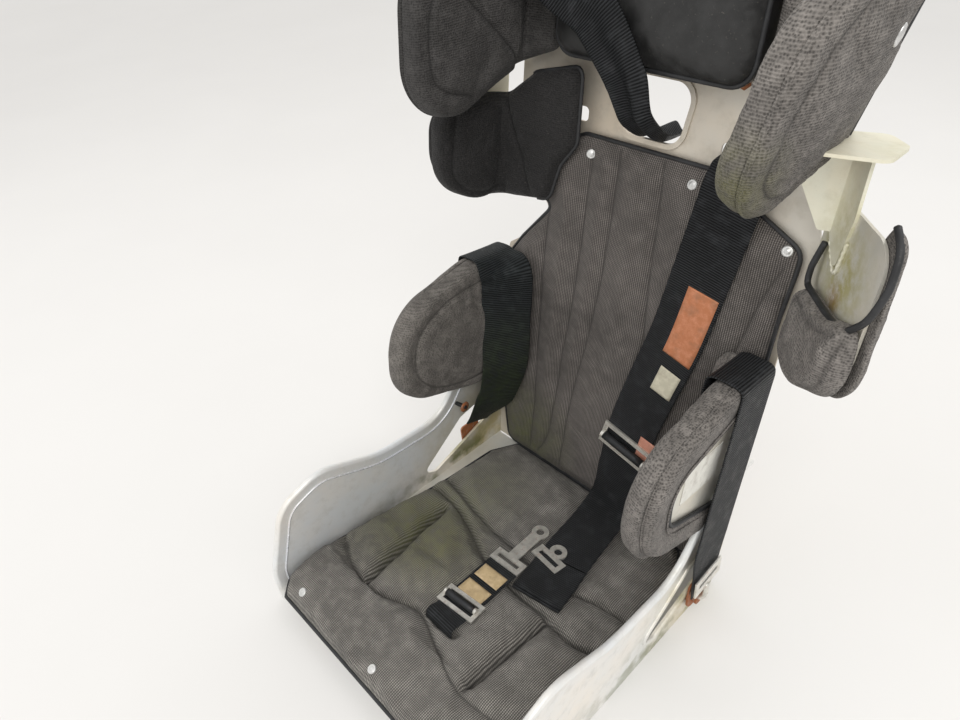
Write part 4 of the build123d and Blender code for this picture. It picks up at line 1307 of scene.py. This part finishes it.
def add_harness():
    near, far, low = left_shoulder_belt(), right_shoulder_belt(), crotch_belt()
    add_belt("shoulder_strap_left", near, belt_cloth, "shoulder_belt_left", 0.5)
    fold = (near.length - 78, near.length)
    add_belt("shoulder_strap_fold", near, belt_cloth, None, 0.5, 0.0, fold, WEBBING + 0.2)
    add_belt("shoulder_strap_right", far, belt_cloth, "shoulder_belt_right", pleat=5.0)
    add_patch("orange_label_right", far, (262, 326), (-0.3, 0.3), orange_label)
    add_belt("lap_strap_left", lap_belt(1), belt_cloth, "lap_belt_left", 0.4)
    add_belt("lap_strap_right", lap_belt(-1), mossy_belt, "lap_belt_right", 0.4)
    add_belt("crotch_strap", low, belt_cloth, "crotch_belt", 0.3)
    add_patch("orange_label", near, (212, 316), (-0.44, 0.12), orange_label)
    add_patch("cream_label", near, (334, 380), (-0.40, 0.02), cream_label)
    add_patch("pink_tag", near, (462, 506), (-0.56, -0.22), pink_label, 0.6)
    add_patch("crotch_label_front", low, (112, 140), (-0.42, 0.42), tan_label)
    add_patch("crotch_label_rear", low, (146, 172), (-0.42, 0.42), tan_label)


# Small fittings. Turned pieces are given as (radius, height) pairs in metres.
SNAP = [(0.0061, -0.001), (0.0063, 0.0007), (0.0056, 0.0018), (0.0047, 0.0022), (0.0040, 0.0018), (0.0035, 0.0021),
        (0.0018, 0.0029), (0.0003, 0.0030)]
BOLT = [(0.0085, 0.0), (0.0085, 0.0012), (0.0062, 0.0014), (0.0060, 0.0050), (0.0050, 0.0056), (0.0004, 0.0057)]
RIVET = [(radius * 0.7, height * 0.8) for radius, height in BOLT]
WASHER = [(0.009, 0), (0.009, 0.0018), (0.004, 0.0019)]


def lathe(name, centre, axis, profile, material, sides=20, stretch=1.0, long_way=None):
    """A turned piece on an axis; a stretch makes it oval, longer the long way."""
    axis = unit(axis)
    first = np.array(long_way if long_way is not None else np.cross(axis, [0.31, 0.12, 0.94]), float)
    first = unit(first - axis * (first @ axis))
    second = np.cross(axis, first)
    verts, faces = [], []
    for radius, height in profile:
        for k in range(sides):
            angle = 2 * math.pi * k / sides
            spoke = first * math.cos(angle) * stretch + second * math.sin(angle)
            verts.append(centre + axis * height + radius * spoke)
    for j in range(0, (len(profile) - 1) * sides, sides):
        faces += [(j + k, j + (k + 1) % sides, j + sides + (k + 1) % sides, j + sides + k) for k in range(sides)]
    faces += [tuple(reversed(range(sides))), tuple(range(len(verts) - sides, len(verts)))]
    finish_piece(make_object(name, verts, faces, material))


def add_snap(name, obj, start, direction, stretch=1.0, long_way=None):
    """A snap on a finished piece, where a ray in the row's frame meets it."""
    bpy.context.view_layer.update()
    tree = BVHTree.FromObject(obj, bpy.context.evaluated_depsgraph_get())
    point, normal, _, _ = tree.ray_cast(Vector(start), Vector(direction).normalized())
    if point is None:
        point, normal = start, -np.array(direction, float)
    point, normal = np.array(point), np.array(normal)
    if normal @ np.array(direction) > 0:
        normal = -normal
    lathe(name, point, normal, SNAP, snap_metal, stretch=stretch, long_way=long_way)


def add_box(name, centre, x_dir, out, size, material, round_off=0.0008, hole=None):
    """A flat plate in metres with softened edges; a slot through it may be given as (width, height)."""
    x_dir = unit(x_dir)
    out = unit(out - x_dir * (out @ x_dir))
    y_dir = np.cross(out, x_dir)
    corners = ((-1, -1), (1, -1), (1, 1), (-1, 1))
    rings = [size[:2], hole] if hole else [size[:2]]
    verts = [centre + x_dir * w / 2 * sx + y_dir * h / 2 * sy + out * z
             for w, h in rings for z in (0.0, size[2]) for sx, sy in corners]
    turns = [(k, (k + 1) % 4) for k in range(4)]
    faces = [(k, n, 4 + n, 4 + k) for k, n in turns]
    if hole:
        faces += [(8 + k, 12 + k, 12 + n, 8 + n) for k, n in turns]
        faces += [(k, 8 + k, 8 + n, n) for k, n in turns]
        faces += [(4 + k, 4 + n, 12 + n, 12 + k) for k, n in turns]
    else:
        faces += [(3, 2, 1, 0), (4, 5, 6, 7)]
    uvs = [((verts[i] - centre) @ x_dir, (verts[i] - centre) @ y_dir) for face in faces for i in face]
    obj = make_object(name, verts, faces, material, uvs, smooth=False)
    bevel(obj, round_off)
    finish_piece(obj)


def add_snaps():
    for k, x in enumerate((-160, 0, 160)):
        add_snap(f"cushion_snap_{k + 1}", cushion_cover, to_row([x, -444, 120]), (0, 0, -1))
    for k, (x, s) in enumerate(((-75, 560), (75, 563), (-196, 522), (196, 522))):
        add_snap(f"cover_snap_{k + 1}", back_panel, to_row(on_back(x, s, 60)), -FORWARD)
    place = wing_place(1, HEAD_HALF - SHEET, 0.0, LEFT_LEAN)
    start, inner = place(np.array([[76.0, 756.0]] * 2), np.array([60.0, 0.0]))
    add_snap("head_pad_snap", head_sleeve, start, inner - start, 1.5, UPWARD)
    for k, x in enumerate((-102, 102)):
        lathe(f"neck_bolt_{k + 1}", to_row(on_back(x, 676, 0)), FORWARD, BOLT, rusty_metal, 6)
    for k, (side, y, z) in enumerate(((-1, -430, 40), (1, -430, 40), (-1, -40, 150), (1, -40, 150))):
        centre = to_row([side * (HIP_HALF + SHEET), y, z])
        lathe(f"panel_rivet_{k + 1}", centre, ACROSS * side, RIVET, edge_metal)


# The hip panel's upper edge as (y, z, corner radius)
PANEL_EDGE = [(26.8, 235, 0), (-50, 235, 50), (-128, 138, 70), (-250, 146, 160), (-350, 188, 60), (-416, 166, 50),
              (-452, 60, 60), (-452, 8, 0)]


def add_beads():
    """A thin raised bead inside the rolled edge of each hip panel."""
    line = outline(PANEL_EDGE, 5.0, False)
    line = line + left_of(unit(np.gradient(line, axis=0))) * 13.0
    line = line[(line[:, 1] > 30) & (line[:, 0] < -20)]
    for side, name in ((1, "left"), (-1, "right")):
        points = np.column_stack([level(line, side * (HIP_HALF - CLEAR)), line])
        add_tube(f"panel_bead_{name}", to_row(points), THIN_WELT, edge_metal)


def add_fittings():
    """Black rollers, a slotted hook on the left lap belt, a plate, a rod with a washer and the brace's weld."""
    lie = WEBBING + 2 * CLEAR
    slide = on_back(54, 166, COVER_THICK + 3 * CLEAR + lie) + FORWARD * 7.5
    for name, centre, way, half, radius in (
            ("shoulder_roller", slide, (0.97, -0.02, -0.2), 35.0, 6.3),
            ("crotch_roller", on_cushion(12, -302, lie) + UP * 6.0, (1, 0.1, 0), 24.0, 5.3)):
        line = [centre + unit(way) * t for t in np.linspace(-half, half, 5)]
        add_tube(name, to_row(line), radius / 1000, black_metal, sides=16)
    add_box("lap_hook_left", to_row([235.5, -63, 96]), (0, 1, 0.1), ACROSS, (0.058, 0.034, 0.003), buckle_metal,
            hole=(0.042, 0.010))
    stem = smooth_line([(237, -63, 82), (238, -63, 66), (236, -62, 52), (231, -62, 44)], 3.0)
    add_tube("lap_hook_stem", to_row(stem), 0.0042, buckle_metal)
    place = wing_place(1, HIP_HALF - SHEET, 0.0)
    centre, above = place(np.array([[128.0, 292.0]] * 2), np.array([SHEET + 0.1, 60.0]))
    add_box("rib_wing_plate", centre, FORWARD, above - centre, (0.074, 0.052, 0.0008), white_label,
            0.0003)
    weld = smooth_line([(25, 554), (38, 543), (52, 532.5), (58, 532.5), (62, 545), (65, 566)], 2.2)
    bead = wing_place(1, SHOULDER_HALF, LEFT_FLARE)(weld, -1.4 + 0.5 * np.sin(np.arange(len(weld)) * 1.9))
    add_tube("brace_weld", bead, 0.0021, brace_metal)
    rod = smooth_line([(-226, -94, 150), (-214, -92, 150), (-204, -90, 150), (-196, -89, 150)], 3.0)
    add_tube("lap_rod_right", to_row(rod), 0.0034, black_metal)
    lathe("lap_rod_washer", to_row([-199, -89.4, 150]), (1, 0.1, 0), WASHER, rusty_metal)


add_harness()
add_snaps()
add_beads()
add_fittings()
